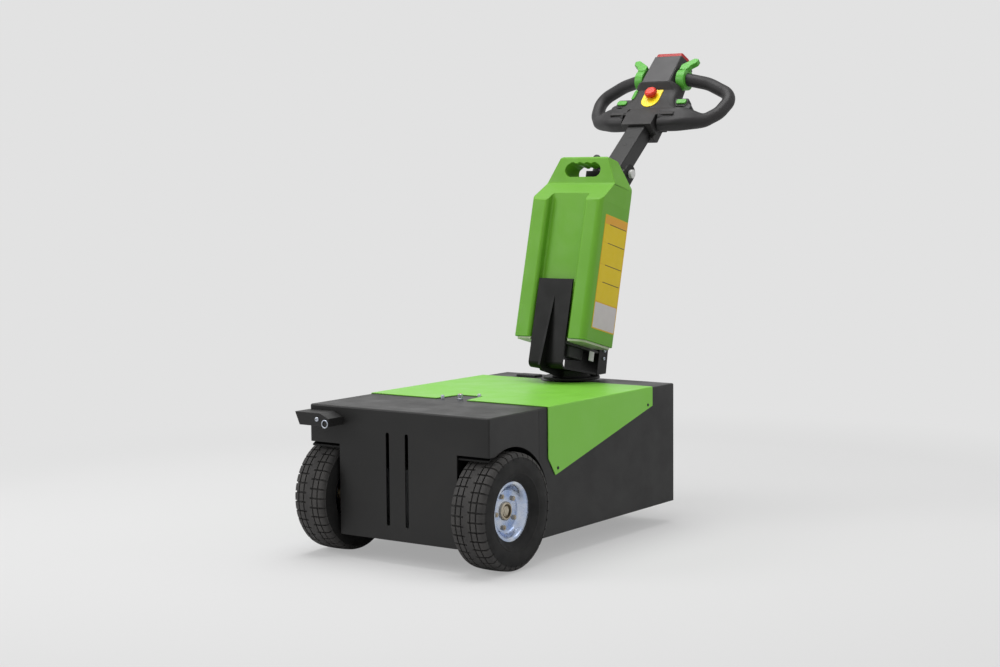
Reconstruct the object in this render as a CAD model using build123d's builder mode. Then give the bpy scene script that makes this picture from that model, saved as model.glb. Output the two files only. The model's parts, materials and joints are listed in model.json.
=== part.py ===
"""Pedestrian electric tow tractor: two driven wheels at the hitch end, one castor under the tiller end,
a folded steel body, a battery pack standing in a cradle in front of a leaning post, and a hinged tiller
with a loop handle. Millimetres. +Y runs from the hitch end to the tiller end, +X is the right-hand side
seen from the hitch end, +Z is up. The origin is on the floor, in the middle of the overall length."""

from build123d import *
from math import cos, hypot, radians, sin, sqrt, tan
import os

os.makedirs("parts", exist_ok=True)

# Driving dimensions: drive wheels
TYRE_RADIUS = 130.0
TYRE_WIDTH = 90.0
TREAD_WIDTH = 84.0
SHOULDER_DROP = 9.0
SHOULDER_BEVEL = 4.0
CROWN_DROP = 2.6
CENTRE_BAND = 12.0
WALL_RISE = 22.5
TREAD_PITCHES = 38
TREAD_CUT = 3.2
TREAD_DEPTH = 5.0
RIM_RADIUS = 67.5
RIM_WIDTH = 56.0
RIM_SHEET = 3.0
RIM_LIP = 1.2
RIM_WELL_RADIUS = 49.5
RIM_WELL_HALF = 10.0
BEAD_DEPTH = 9.0
DISC_OFFSET = 9.0
HUB_RADIUS = 20.5
HUB_SETBACK = 11.0
HUB_BORE = 15.5
HUB_RECESS = 9.0
HUB_LENGTH = 48.0
AXLE_NUT_RADIUS = 12.0
AXLE_NUT_HEIGHT = 6.0
AXLE_THREAD_RADIUS = 7.0
AXLE_THREAD_SETBACK = 2.0
STUB_RADIUS = 10.0
WHEEL_INSET = 30.0
AXLE_SETBACK = 82.0
WHEEL_STUDS = 5
WHEEL_STUD_CIRCLE = 36.0
WHEEL_STUD_RADIUS = 3.0
WHEEL_STUD_TIP = 1.5
WHEEL_NUT_RADIUS = 5.8
WHEEL_NUT_HEIGHT = 4.5
STUD_TURN = 41.0
HUB_FLANGE = 6.0
HUB_FLANGE_RADIUS = 43.0

# Driving dimensions: body
BODY_WIDTH = 498.0
BODY_LENGTH = 775.0
BODY_TOP = 341.0
GROUND_CLEARANCE = 52.0
BODY_BEND = 4.0
SHEET = 3.0
SEAM = 0.4
WELL_DEPTH = 85.5
NOTCH_HEIGHT = 256.0
ARCH_GAP = 10.0
HOOD_TOP_LENGTH = 235.0
HOOD_SIDE_LENGTH = 187.0
COVER_START = 221.0
COVER_SHEET = 2.0
COVER_BEND = 3.0
FLAP_START_Z = 228.0
FLAP_TIP_OFFSET = 28.0
FLAP_TIP_Z = 187.0
FLAP_END_Z = 297.0
NOTCH_CENTRE_X = -15.0
NOTCH_MOUTH = 87.0
NOTCH_BACK = 64.0
NOTCH_DEPTH = 80.0
TONGUE_MARGIN = 12.0
COVER_LIP = 14.0
REAR_STRIP = 106.0
SLOT_SPACING = 53.0
SLOT_WIDTH = 9.0
SLOT_BOTTOM = 84.0
SLOT_TOP = 291.0
FLOOR_SHEET = 5.0
SWING_CLEARANCE = 8.0
TURNTABLE_MARGIN = 7.0

# Driving dimensions: drive unit
AXLE_TUBE_RADIUS = 26.0
BEARING_RADIUS = 42.0
BEARING_THICKNESS = 14.0
DRIVE_BLOCK_WIDTH = 170.0
DRIVE_BLOCK_LENGTH = 190.0
DRIVE_BLOCK_HEIGHT = 150.0
DRIVE_BLOCK_CORNER = 18.0
DRIVE_BLOCK_OFFSET = 45.0

# Driving dimensions: turntable, steering head and castor
STEER_AXIS_INSET = 75.0
TURNTABLE_RADIUS = 70.0
TURNTABLE_THICKNESS = 6.0
TURNTABLE_CHAMFER = 1.2
TURNTABLE_LIFT = 5.4
SHAFT_RADIUS = 20.0
HEAD_TUBE_RADIUS = 34.0
RUNNING_CLEARANCE = 0.05
RUNNING_GAP = 0.5
SHAFT_PASSAGE = 2.0
CASTOR_RADIUS = 62.5
CASTOR_WIDTH = 40.0
CASTOR_RIM_RADIUS = 44.0
CASTOR_FACETS = 28
CASTOR_BEVEL = 4.0
CASTOR_RIM_EDGE = 5.0
CASTOR_DISH = 8.0
CASTOR_BORE = 8.0
CASTOR_HUB_WALL = 8.0
CASTOR_NUT_WALL = 4.8
CROWN_GAP = 9.0
CROWN_THICKNESS = 8.0
CROWN_LENGTH = 56.0
FORK_SHEET = 5.0
FORK_GAP = 4.0
FORK_FOOT_WALL = 10.0
BRIDGE_HEIGHT = 152.0
BRIDGE_SHEET = 6.0

# Driving dimensions: battery pack, leaning with the post
LEAN = 14.2
PACK_FRONT_AHEAD = 106.0
PACK_FOOT_Z = 457.0
PACK_WIDTH = 209.0
PACK_DEPTH = 143.0
PACK_HEIGHT = 466.0
SHOULDER_RISE = 53.0
NECK_RISE = 69.0
PACK_NECK_WIDTH = 200.0
PACK_TOP_WIDTH = 136.0
NECK_FRONT = 56.0
NECK_BACK = 104.0
CHANNEL_WIDTH = 108.0
CHANNEL_DEPTH = 22.0
PACK_EDGE_RADIUS = 16.0
CHANNEL_MOUTH_RADIUS = 9.0
CHANNEL_FLOOR_RADIUS = 5.0
SHOULDER_ROUNDING = 16.0
NECK_ROUNDING = 10.0
TOP_ROUNDING = 7.0
OPENING_WIDTH = 104.0
OPENING_HEIGHT = 34.0
OPENING_DROP = 35.0
SCALLOPS = 4
SCALLOP_SPACING = 21.0
SCALLOP_RADIUS = 11.0
SCALLOP_SINK = 8.0
FOOT_THICKNESS = 6.0
FOOT_INSET = 5.0

# Driving dimensions: cradle and post
CRADLE_WIDTH = 98.0
CRADLE_SHEET = 5.0
CRADLE_FACE_SETBACK = 3.0
CRADLE_TOP = 146.0
CRADLE_BOTTOM = -72.0
CRADLE_BEND = 12.0
PEDESTAL_RADIUS = 48.0
SEAT_GAP = 0.3
SEAT_THICKNESS = 6.0
SEAT_SIDE_GAP = 1.0
CONNECTOR_WIDTH = 64.0
CONNECTOR_LENGTH = 70.0
CONNECTOR_DEPTH = 26.0
CONNECTOR_CORNER = 6.0
FIN_THICKNESS = 6.0
FIN_TOP = 105.0
FIN_REACH = 26.0
FIN_TOE_REACH = 12.0
FIN_TOE_DROP = 12.0
FIN_SINK = 1.0
POST_WIDTH = 100.0
POST_FOOT_GAP = 19.5
POST_FOOT_DEPTH = 40.0
POST_HEAD_DEPTH = 26.0
POST_SHEET = 5.0
POST_GAP = 5.0
POST_TOP = 452.0
EAR_DROP = 72.0
EAR_RADIUS = 24.0

# Driving dimensions: tiller joint, tube and head
PIVOT_BEHIND = 200.0
PIVOT_HEIGHT = 850.0
PIVOT_RADIUS = 8.0
BUSH_RADIUS = 14.0
BUSH_GAP = 0.3
BOLT_HEAD_RADIUS = 12.0
BOLT_HEAD_LENGTH = 7.0
KNOB_RADIUS = 11.0
KNOB_LENGTH = 9.0
KNOB_ROUNDING = 2.25
LATCH_X = -36.0
LATCH_DEP = 168.0
LATCH_TOP = 499.0
LATCH_KNOB_RADIUS = 10.0
LATCH_STEM_RADIUS = 5.0
LATCH_BLOCK = 14.0
TILLER_ANGLE = 50.0
TUBE_WIDTH = 52.0
TUBE_DEPTH = 44.0
TUBE_WALL = 4.0
TUBE_CORNER = 3.0
TUBE_INNER_CORNER = 1.5
TUBE_TAIL = 24.0
TUBE_LENGTH = 215.0
SOCKET_GAP = 0.2
HEAD_ANGLE = 43.3
HEAD_BEHIND = 307.0
HEAD_HEIGHT = 978.0
NECK_WIDTH = 90.0
NECK_LENGTH = 36.0
WING_WIDTH = 190.0
WING_END = 66.0
STEM_WIDTH = 100.0
STEM_START = 112.0
HEAD_LENGTH = 249.0
HEAD_SPLIT = -42.0
HEAD_FLOOR = -70.0
HEAD_DIP = -12.0
HEAD_DIP_MARGIN = 4.0
NECK_DIP = -1.0
WING_HOLLOW = 2 / 3
CUT_OVERRUN = 1.0
LOOP_DROOP = 18.0
GRIP_RADIUS = 17.0
LOOP_TOP = 184.0
LOOP_REACH = 164.0
LOOP_BOTTOM = 40.0
LOOP_ROOT_GAP = 2.0
LOOP_END_DROP = 4.0
# bends of the loop: distance inside its widest reach, distance down from its top, radius
LOOP_BENDS = ((75.44, 0, 90), (0, 26, 34), (16.4, 90, 60), (49.2, 131, 50))
THROTTLE_RADIUS = 28.0
THROTTLE_WIDTH = 24.0
THROTTLE_START = 50.5
THROTTLE_BORE = 11.0
THROTTLE_WING_DEPTH = 15.0
THROTTLE_WING_ROUNDING = 4.0
# a throttle's thumb wing, seen on the head's panel: distance from the head's middle, distance up the head
THROTTLE_WING = ((52, 198), (52, 216), (66, 226), (84, 238), (97, 235), (95, 222), (82, 212), (74, 198))
LOOP_ROOT_X = 45.0
LOOP_ROOT_N = -16.0
DISPLAY_FOOT = 135.0
DISPLAY_START = 150.0
DISPLAY_TOP = 3.0
PANEL_END = 1.0
PANEL_TAPER = 4.6
PANEL_SLOPE = 0.38
SOCKET_OVERHANG = 8.0
SOCKET_WALL_INSET = 8.0
SOCKET_CHIN = 8.0
POD_X = 78.0
POD_UP = 98.0
POD_WIDTH = 60.0
POD_LENGTH = 28.0
POD_CORNER = 7.0
POD_TOP = -22.0
SIDE_BUTTON_X = 90.0
SIDE_BUTTON_WIDTH = 28.0
SIDE_BUTTON_LENGTH = 14.0
SIDE_BUTTON_CORNER = SIDE_BUTTON_LENGTH / 3
SIDE_BUTTON_HEIGHT = 4.5
HORN_UP = 126.5
HORN_NORMAL = -20.0
HORN_LENGTH = 26.0
HORN_WIDTH = 14.0
HORN_HEIGHT = 6.0
HORN_CORNER = 3.5
HORN_CHAMFER = 2.0
BELLY_THICKNESS = 14.0
BELLY_TOP_HALF = 38.0
BELLY_HALF = 47.0
BELLY_SLOPE = 24.0
BELLY_CORNER = 6.0
STOP_PLATE_RADIUS = 26.0
STOP_PLATE_RISE = 20.0
STOP_BUTTON_RADIUS = 16.5
STOP_CENTRE = 114.0
STOP_PLATE_DROP = 14.0
STOP_PLATE_THICKNESS = 2.0
STOP_STEM_RADIUS = 9.0
STOP_STEM_HEIGHT = 9.0
STOP_BUTTON_HEIGHT = 12.0
STOP_CROWN = 7.2

# Driving dimensions: release handle on the hitch face
HANDLE_REACH = 50.0
HANDLE_OVERHANG = 1.0
HANDLE_WIDTH = 98.0
HANDLE_TOP = 329.0
HANDLE_BOTTOM = 300.0
HANDLE_SHEET = 3.0
HANDLE_SLOPE = 26.0
HANDLE_TAPER = 13.0
HANDLE_SHOULDER = 10.92

# Driving dimensions: charging socket cover on the rear strip
SOCKET_X = -139.0
SOCKET_INSET = 59.0
SOCKET_WIDTH = 62.0
SOCKET_LENGTH = 34.0
SOCKET_HEIGHT = 6.0
SOCKET_CORNER = 6.0
SOCKET_CHAMFER = 2.0

# Worked-out places
lean = radians(LEAN)
head_tilt = radians(HEAD_ANGLE)
tube_tilt = radians(TILLER_ANGLE)
steer_setback = BODY_LENGTH - STEER_AXIS_INSET
head_setback = steer_setback + HEAD_BEHIND
belly_floor = (HEAD_FLOOR + HEAD_SPLIT) / 2
belly_corner_up = HEAD_LENGTH + BELLY_THICKNESS - BELLY_CORNER
belly_corner_reach = belly_corner_up * sin(head_tilt) - (belly_floor + BELLY_CORNER) * cos(head_tilt)
head_rear_reach = head_setback + belly_corner_reach + BELLY_CORNER
HITCH_FACE = -(head_rear_reach - HANDLE_REACH) / 2


def y_at(setback):
    """Y of a place given by its distance behind the hitch face."""
    return HITCH_FACE + setback


body_half = BODY_WIDTH / 2
well_half = body_half - WELL_DEPTH
wheel_x = body_half - WHEEL_INSET
axle_y = y_at(AXLE_SETBACK)
steer_y = y_at(steer_setback)
arch_radius = TYRE_RADIUS + ARCH_GAP
body_rear = y_at(BODY_LENGTH)
body_height = BODY_TOP - GROUND_CLEARANCE
pack_neck = PACK_HEIGHT - NECK_RISE
pack_shoulder = pack_neck - SHOULDER_RISE
pack_foot = (0, steer_y - PACK_FRONT_AHEAD, PACK_FOOT_Z)
pivot_point = (0, steer_y + PIVOT_BEHIND, PIVOT_HEIGHT)

# the pack's plane: sketch x is row X, sketch y runs back from the pack's front, the normal runs up the pack
pack_plane = Plane(origin=pack_foot, x_dir=(1, 0, 0), z_dir=(0, sin(lean), cos(lean)))
# the same place seen from the side: sketch x runs back from the pack's front, sketch y runs up the pack
pack_side = Plane(origin=pack_foot, x_dir=(0, cos(lean), -sin(lean)), z_dir=(1, 0, 0))
# the pack seen from the hitch: sketch x is row X, sketch y runs up the pack
pack_face = Plane(origin=pack_foot, x_dir=(1, 0, 0), z_dir=(0, -cos(lean), sin(lean)))
# the tiller tube's section, its normal running up the tube from the pivot
tube_plane = Plane(origin=pivot_point, x_dir=(1, 0, 0), z_dir=(0, sin(tube_tilt), cos(tube_tilt)))
# the head's panel: sketch x is row X, sketch y runs up the head from its neck, the normal faces the driver
head_origin = (0, y_at(head_setback), HEAD_HEIGHT)
head_plane = Plane(origin=head_origin, x_dir=(1, 0, 0), z_dir=(0, -cos(head_tilt), sin(head_tilt)))
# the head from the side: sketch x runs up the head, sketch y is the panel's normal
head_side = Plane(origin=head_origin, x_dir=(0, sin(head_tilt), cos(head_tilt)), z_dir=(1, 0, 0))

pieces = {}


def keep(name, part):
    """Label a finished sub-part and hold it for export under its node name."""
    part.label = name
    pieces[name] = part


def side_plane(x):
    """A plane facing +X at a given x, whose sketch axes are row Y and row Z."""
    return Plane(origin=(x, 0, 0), x_dir=(0, 1, 0), z_dir=(1, 0, 0))


def pack_point(x, up, back):
    """Row-frame place of a point given along the leaning pack."""
    return pack_plane.from_local_coords((x, back, up))


# Drive wheels: tyre, pressed rim and hub
def wheel_profile_plane(side, turn=0.0):
    """Sketch plane through the axle, turned about it: sketch x runs outboard from the wheel's centre and
    sketch y is radius."""
    angle = radians(turn)
    return Plane(
        origin=(side * wheel_x, axle_y, TYRE_RADIUS),
        x_dir=(side, 0, 0),
        z_dir=(0, -side * cos(angle), -side * sin(angle)),
    )


half_tyre = TYRE_WIDTH / 2
half_tread = TREAD_WIDTH / 2
half_rim = RIM_WIDTH / 2
half_band = CENTRE_BAND / 2
bead_half = half_rim - RIM_SHEET
bead_radius = RIM_RADIUS - BEAD_DEPTH
rim_inner = bead_radius - RIM_SHEET
shoulder_radius = TYRE_RADIUS - SHOULDER_DROP
corner_radius = TYRE_RADIUS - CROWN_DROP

# half of the tyre's outline, from its bead to its crown: distance from the middle, radius
tyre_outline = (
    (bead_half, bead_radius),
    (bead_half, RIM_RADIUS + RIM_LIP),
    (half_tyre, RIM_RADIUS + WALL_RISE),
    (half_tread, shoulder_radius),
    (half_tread - SHOULDER_BEVEL, corner_radius),
    (half_band, TYRE_RADIUS),
)
# a cross cut, from the middle band out over the shoulder: distance from the middle, radius
cut_outline = (
    (half_band, TYRE_RADIUS + TREAD_DEPTH),
    (half_band, TYRE_RADIUS - TREAD_DEPTH),
    (half_tread - SHOULDER_BEVEL, corner_radius - TREAD_DEPTH),
    (half_tread, shoulder_radius),
    (half_tyre, shoulder_radius),
    (half_tyre, TYRE_RADIUS + TREAD_DEPTH),
)
pitch_angle = 360 / TREAD_PITCHES

for name, side in (("left", -1), ("right", 1)):
    plane = wheel_profile_plane(side)
    axle_axis = Axis((side * wheel_x, axle_y, TYRE_RADIUS), (1, 0, 0))

    with BuildPart() as tyre_pitch:
        with BuildSketch(plane):
            with BuildLine():
                Polyline(*tyre_outline, *[(-x, radius) for x, radius in reversed(tyre_outline)], close=True)
            make_face()
        extrude(amount=TYRE_RADIUS * tan(radians(pitch_angle)), both=True)
        # outboard cuts lie between two pitches, the inboard cut in the middle of one
        for hand, turn in ((1, -pitch_angle / 2), (1, pitch_angle / 2), (-1, 0)):
            with BuildSketch(wheel_profile_plane(side, turn)):
                with BuildLine():
                    Polyline(*[(hand * x, radius) for x, radius in cut_outline], close=True)
                make_face()
            extrude(amount=TREAD_CUT / 2, both=True, mode=Mode.SUBTRACT)
        for turn in (-1, 1):
            end_plane = wheel_profile_plane(side, turn * pitch_angle / 2)
            split(bisect_by=end_plane, keep=Keep.BOTTOM if side * turn > 0 else Keep.TOP)
    with BuildPart() as tyre:
        add([tyre_pitch.part.rotate(axle_axis, n * pitch_angle) for n in range(TREAD_PITCHES)])
    keep(f"drive_tyre_{name}", tyre.part)

    disc_front = DISC_OFFSET + RIM_SHEET
    disc_back = DISC_OFFSET - RIM_SHEET
    with BuildPart() as rim:
        with BuildSketch(plane):
            with BuildLine():
                Polyline(
                    (-half_rim, RIM_RADIUS),
                    (-bead_half, RIM_RADIUS),
                    (-bead_half, bead_radius),
                    (DISC_OFFSET - RIM_WELL_HALF, bead_radius),
                    (DISC_OFFSET, RIM_WELL_RADIUS),
                    (DISC_OFFSET + RIM_WELL_HALF, bead_radius),
                    (bead_half, bead_radius),
                    (bead_half, RIM_RADIUS),
                    (half_rim - RIM_LIP, RIM_RADIUS),
                    (half_rim, RIM_RADIUS - RIM_LIP),
                    (half_rim, bead_radius + RIM_LIP),
                    (bead_half, rim_inner),
                    (disc_front + RIM_SHEET, RIM_WELL_RADIUS),
                    (disc_front, RIM_WELL_RADIUS - 2 * RIM_SHEET),
                    (disc_front, HUB_RADIUS),
                    (disc_back, HUB_RADIUS),
                    (disc_back, RIM_WELL_RADIUS - 2 * RIM_SHEET),
                    (disc_back - RIM_SHEET, RIM_WELL_RADIUS),
                    (disc_back - 3 * RIM_SHEET, rim_inner),
                    (-bead_half, rim_inner),
                    (-half_rim, bead_radius + RIM_LIP),
                    close=True,
                )
            make_face()
        revolve(axis=axle_axis)
        stud_plane = Plane(
            origin=(side * (wheel_x + disc_back), axle_y, TYRE_RADIUS), x_dir=(0, 1, 0), z_dir=(side, 0, 0)
        )
        with BuildSketch(stud_plane):
            with PolarLocations(WHEEL_STUD_CIRCLE, WHEEL_STUDS, start_angle=STUD_TURN):
                Circle(WHEEL_STUD_RADIUS)
        extrude(amount=disc_front - disc_back, mode=Mode.SUBTRACT)
    keep(f"drive_rim_{name}", rim.part)

    hub_face = half_rim - HUB_SETBACK
    recess_floor = hub_face - HUB_RECESS
    hub_chamfer = HUB_RADIUS - HUB_BORE - RIM_SHEET
    stub_end = well_half - BEARING_THICKNESS + RUNNING_GAP - wheel_x
    with BuildPart() as hub:
        with BuildSketch(plane):
            with BuildLine():
                Polyline(
                    (hub_face - AXLE_THREAD_SETBACK, 0),
                    (hub_face - AXLE_THREAD_SETBACK, AXLE_THREAD_RADIUS),
                    (recess_floor, AXLE_THREAD_RADIUS),
                    (recess_floor, HUB_BORE),
                    (hub_face, HUB_BORE),
                    (hub_face, HUB_RADIUS - hub_chamfer),
                    (hub_face - hub_chamfer, HUB_RADIUS),
                    (disc_back, HUB_RADIUS),
                    (disc_back, HUB_FLANGE_RADIUS),
                    (disc_back - HUB_FLANGE, HUB_FLANGE_RADIUS),
                    (disc_back - HUB_FLANGE, HUB_RADIUS),
                    (hub_face - HUB_LENGTH, HUB_RADIUS),
                    (hub_face - HUB_LENGTH, STUB_RADIUS),
                    (stub_end, STUB_RADIUS),
                    (stub_end, 0),
                    close=True,
                )
            make_face()
        revolve(axis=axle_axis)
        with BuildSketch(side_plane(side * (wheel_x + recess_floor))):
            with Locations((axle_y, TYRE_RADIUS)):
                RegularPolygon(radius=AXLE_NUT_RADIUS, side_count=6)
        extrude(amount=side * AXLE_NUT_HEIGHT)
        with BuildSketch(stud_plane):
            with PolarLocations(WHEEL_STUD_CIRCLE, WHEEL_STUDS, start_angle=STUD_TURN):
                Circle(WHEEL_STUD_RADIUS)
        extrude(amount=disc_front - disc_back + WHEEL_NUT_HEIGHT + WHEEL_STUD_TIP)
        with BuildSketch(stud_plane.offset(disc_front - disc_back)):
            with PolarLocations(WHEEL_STUD_CIRCLE, WHEEL_STUDS, start_angle=STUD_TURN):
                RegularPolygon(radius=WHEEL_NUT_RADIUS, side_count=6)
        extrude(amount=WHEEL_NUT_HEIGHT)
    keep(f"drive_hub_{name}", hub.part)

# Chassis: floor pan, wheel-well walls and arches, and the bridge over the castor
castor_swing = hypot(CASTOR_RADIUS, CASTOR_WIDTH / 2)
floor_start = HITCH_FACE + SHEET + SEAM
floor_end = body_rear - SHEET - SEAM
wide_half = body_half - SHEET - SEAM
wide_start = axle_y + sqrt((arch_radius + SHEET) ** 2 - (TYRE_RADIUS - GROUND_CLEARANCE) ** 2)
wall_top = BODY_TOP - SHEET - SEAM
with BuildPart() as chassis_frame:
    with BuildSketch(Plane.XY.offset(GROUND_CLEARANCE)):
        with BuildLine():
            Polyline(
                (-well_half, floor_start),
                (well_half, floor_start),
                (well_half, wide_start),
                (wide_half, wide_start),
                (wide_half, floor_end),
                (-wide_half, floor_end),
                (-wide_half, wide_start),
                (-well_half, wide_start),
                close=True,
            )
        make_face()
        with Locations((0, steer_y)):
            Circle(castor_swing + SWING_CLEARANCE, mode=Mode.SUBTRACT)
    extrude(amount=FLOOR_SHEET)
    for side in (-1, 1):
        with BuildSketch(side_plane(side * (well_half - SHEET / 2))):
            with Locations(((floor_start + wide_start) / 2, (GROUND_CLEARANCE + wall_top) / 2)):
                Rectangle(wide_start - floor_start, wall_top - GROUND_CLEARANCE)
            with Locations((axle_y, TYRE_RADIUS)):
                Circle(STUB_RADIUS + SHAFT_PASSAGE, mode=Mode.SUBTRACT)
        extrude(amount=SHEET / 2, both=True)
        arch_half = (wide_half - well_half) / 2
        with BuildSketch(side_plane(side * (well_half + arch_half))):
            with Locations((axle_y, TYRE_RADIUS)):
                Circle(arch_radius + SHEET)
                Circle(arch_radius, mode=Mode.SUBTRACT)
            with Locations((axle_y, GROUND_CLEARANCE - arch_radius)):
                Rectangle(4 * arch_radius, 2 * arch_radius, mode=Mode.SUBTRACT)
            with Locations((floor_start - arch_radius, TYRE_RADIUS)):
                Rectangle(2 * arch_radius, 4 * arch_radius, mode=Mode.SUBTRACT)
        extrude(amount=arch_half, both=True)
    bridge_start = steer_y - castor_swing - SWING_CLEARANCE
    bridge_middle = (bridge_start + floor_end) / 2
    bridge_length = floor_end - bridge_start
    bridge_half = castor_swing + SWING_CLEARANCE + SHEET
    with BuildSketch(Plane.XY.offset(BRIDGE_HEIGHT)):
        with Locations((0, bridge_middle)):
            Rectangle(2 * bridge_half, bridge_length)
        with Locations((0, steer_y)):
            Circle(SHAFT_RADIUS + SHAFT_PASSAGE, mode=Mode.SUBTRACT)
    extrude(amount=BRIDGE_SHEET)
    for side in (-1, 1):
        with BuildSketch(side_plane(side * (bridge_half - SHEET))):
            with Locations((bridge_middle, (GROUND_CLEARANCE + BRIDGE_HEIGHT) / 2)):
                Rectangle(bridge_length, BRIDGE_HEIGHT - GROUND_CLEARANCE)
        extrude(amount=side * SHEET)
keep("chassis_frame", chassis_frame.part)

# The folded body's outside, whose rounded bends the hood and the rear shell share
with BuildPart() as body_envelope:
    with BuildSketch(Plane.XY):
        with Locations((0, (HITCH_FACE + body_rear) / 2)):
            Rectangle(BODY_WIDTH, BODY_LENGTH)
    extrude(amount=BODY_TOP)
    bends = body_envelope.edges().filter_by(Axis.Z) + body_envelope.faces().sort_by(Axis.Z)[-1].edges()
    fillet(bends, BODY_BEND)

# Hitch hood: folded sheet with the slotted hitch face, cut away over both wheels
hood_end = y_at(HOOD_TOP_LENGTH)
hood_side_end = y_at(HOOD_SIDE_LENGTH)
with BuildPart() as hitch_hood:
    with BuildSketch(Plane.XZ.offset(-HITCH_FACE)):
        with BuildLine():
            Polyline(
                (-well_half, GROUND_CLEARANCE),
                (well_half, GROUND_CLEARANCE),
                (well_half, NOTCH_HEIGHT),
                (body_half, NOTCH_HEIGHT),
                (body_half, BODY_TOP),
                (-body_half, BODY_TOP),
                (-body_half, NOTCH_HEIGHT),
                (-well_half, NOTCH_HEIGHT),
                close=True,
            )
        make_face()
        with Locations((0, (SLOT_BOTTOM + SLOT_TOP) / 2)):
            with GridLocations(SLOT_SPACING, 0, 2, 1):
                SlotOverall(SLOT_TOP - SLOT_BOTTOM, SLOT_WIDTH, rotation=90, mode=Mode.SUBTRACT)
    extrude(amount=-SHEET)
    with BuildSketch(Plane.XY.offset(BODY_TOP - SHEET)):
        with Locations((0, (HITCH_FACE + hood_end) / 2)):
            Rectangle(BODY_WIDTH - 2 * (SHEET + SEAM), hood_end - HITCH_FACE)
        with Locations((0, (HITCH_FACE + hood_side_end) / 2)):
            Rectangle(BODY_WIDTH, hood_side_end - HITCH_FACE)
        tongue_end = y_at(COVER_START + NOTCH_DEPTH + TONGUE_MARGIN)
        with Locations((NOTCH_CENTRE_X, (HITCH_FACE + tongue_end) / 2)):
            Rectangle(NOTCH_MOUTH + 2 * TONGUE_MARGIN, tongue_end - HITCH_FACE)
    extrude(amount=SHEET)
    for side in (-1, 1):
        with BuildSketch(side_plane(side * body_half)):
            with BuildLine():
                Polyline(
                    (HITCH_FACE, BODY_TOP),
                    (hood_side_end, BODY_TOP),
                    (hood_side_end, TYRE_RADIUS),
                    (axle_y, TYRE_RADIUS),
                    (axle_y, NOTCH_HEIGHT),
                    (HITCH_FACE, NOTCH_HEIGHT),
                    close=True,
                )
            make_face()
            with Locations((axle_y, TYRE_RADIUS)):
                Circle(arch_radius, mode=Mode.SUBTRACT)
        extrude(amount=-side * SHEET)
    add(body_envelope.part, mode=Mode.INTERSECT)
keep("hitch_hood", hitch_hood.part)

# Rear shell: folded sheet round the tiller end, with the rear strip of the top and lips for the cover
shell_start = hood_side_end + SEAM
shell_length = body_rear - shell_start
shell_middle = (shell_start + body_rear) / 2
with BuildPart() as rear_shell:
    with BuildSketch(Plane.XY.offset(GROUND_CLEARANCE)):
        with Locations((0, shell_middle)):
            Rectangle(BODY_WIDTH, shell_length)
    extrude(amount=body_height)
    with BuildSketch(Plane.XY.offset(GROUND_CLEARANCE)):
        with Locations((0, shell_middle - SHEET)):
            Rectangle(BODY_WIDTH - 2 * SHEET, shell_length)
    extrude(amount=body_height - SHEET, mode=Mode.SUBTRACT)
    with BuildSketch(side_plane(0)):
        with Locations((axle_y, TYRE_RADIUS)):
            Circle(arch_radius)
    extrude(amount=body_half, both=True, mode=Mode.SUBTRACT)
    opening_end = body_rear - REAR_STRIP - COVER_LIP
    hood_clear = hood_end + SEAM
    with BuildSketch(Plane.XY.offset(BODY_TOP - SHEET)):
        with Locations((0, (shell_start + opening_end) / 2)):
            Rectangle(BODY_WIDTH - 2 * (SHEET + COVER_LIP), opening_end - shell_start)
        with Locations((0, (shell_start + hood_clear) / 2)):
            Rectangle(BODY_WIDTH - 2 * SHEET, hood_clear - shell_start)
        with Locations((0, steer_y)):
            Circle(HEAD_TUBE_RADIUS + SEAM)
    extrude(amount=SHEET, mode=Mode.SUBTRACT)
    add(body_envelope.part, mode=Mode.INTERSECT)
keep("rear_shell", rear_shell.part)

# Top cover: painted sheet lying on the body, with a pointed flap down each side
with BuildPart() as top_cover:
    cover_z = BODY_TOP + SEAM
    cover_half = body_half + SEAM + COVER_SHEET
    cover_front = y_at(COVER_START)
    cover_rear = body_rear - REAR_STRIP
    with BuildSketch(Plane.XY.offset(cover_z)):
        with BuildLine():
            Polyline(
                (-cover_half, cover_front),
                (NOTCH_CENTRE_X - NOTCH_MOUTH / 2, cover_front),
                (NOTCH_CENTRE_X - NOTCH_BACK / 2, cover_front + NOTCH_DEPTH),
                (NOTCH_CENTRE_X + NOTCH_BACK / 2, cover_front + NOTCH_DEPTH),
                (NOTCH_CENTRE_X + NOTCH_MOUTH / 2, cover_front),
                (cover_half, cover_front),
                (cover_half, cover_rear),
                (-cover_half, cover_rear),
                close=True,
            )
        make_face()
        with Locations((0, steer_y)):
            Circle(TURNTABLE_RADIUS + TURNTABLE_MARGIN, mode=Mode.SUBTRACT)
    extrude(amount=COVER_SHEET)
    for side in (-1, 1):
        with BuildSketch(side_plane(side * cover_half)):
            with BuildLine():
                Polyline(
                    (cover_front, cover_z + COVER_SHEET),
                    (cover_front, FLAP_START_Z),
                    (cover_front + FLAP_TIP_OFFSET, FLAP_TIP_Z),
                    (cover_rear, FLAP_END_Z),
                    (cover_rear, cover_z + COVER_SHEET),
                    close=True,
                )
            make_face()
        extrude(amount=-side * COVER_SHEET)
    fillet(top_cover.edges().filter_by(Axis.Y).group_by(Axis.Z)[-1], COVER_BEND)
keep("top_cover", top_cover.part)

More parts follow.
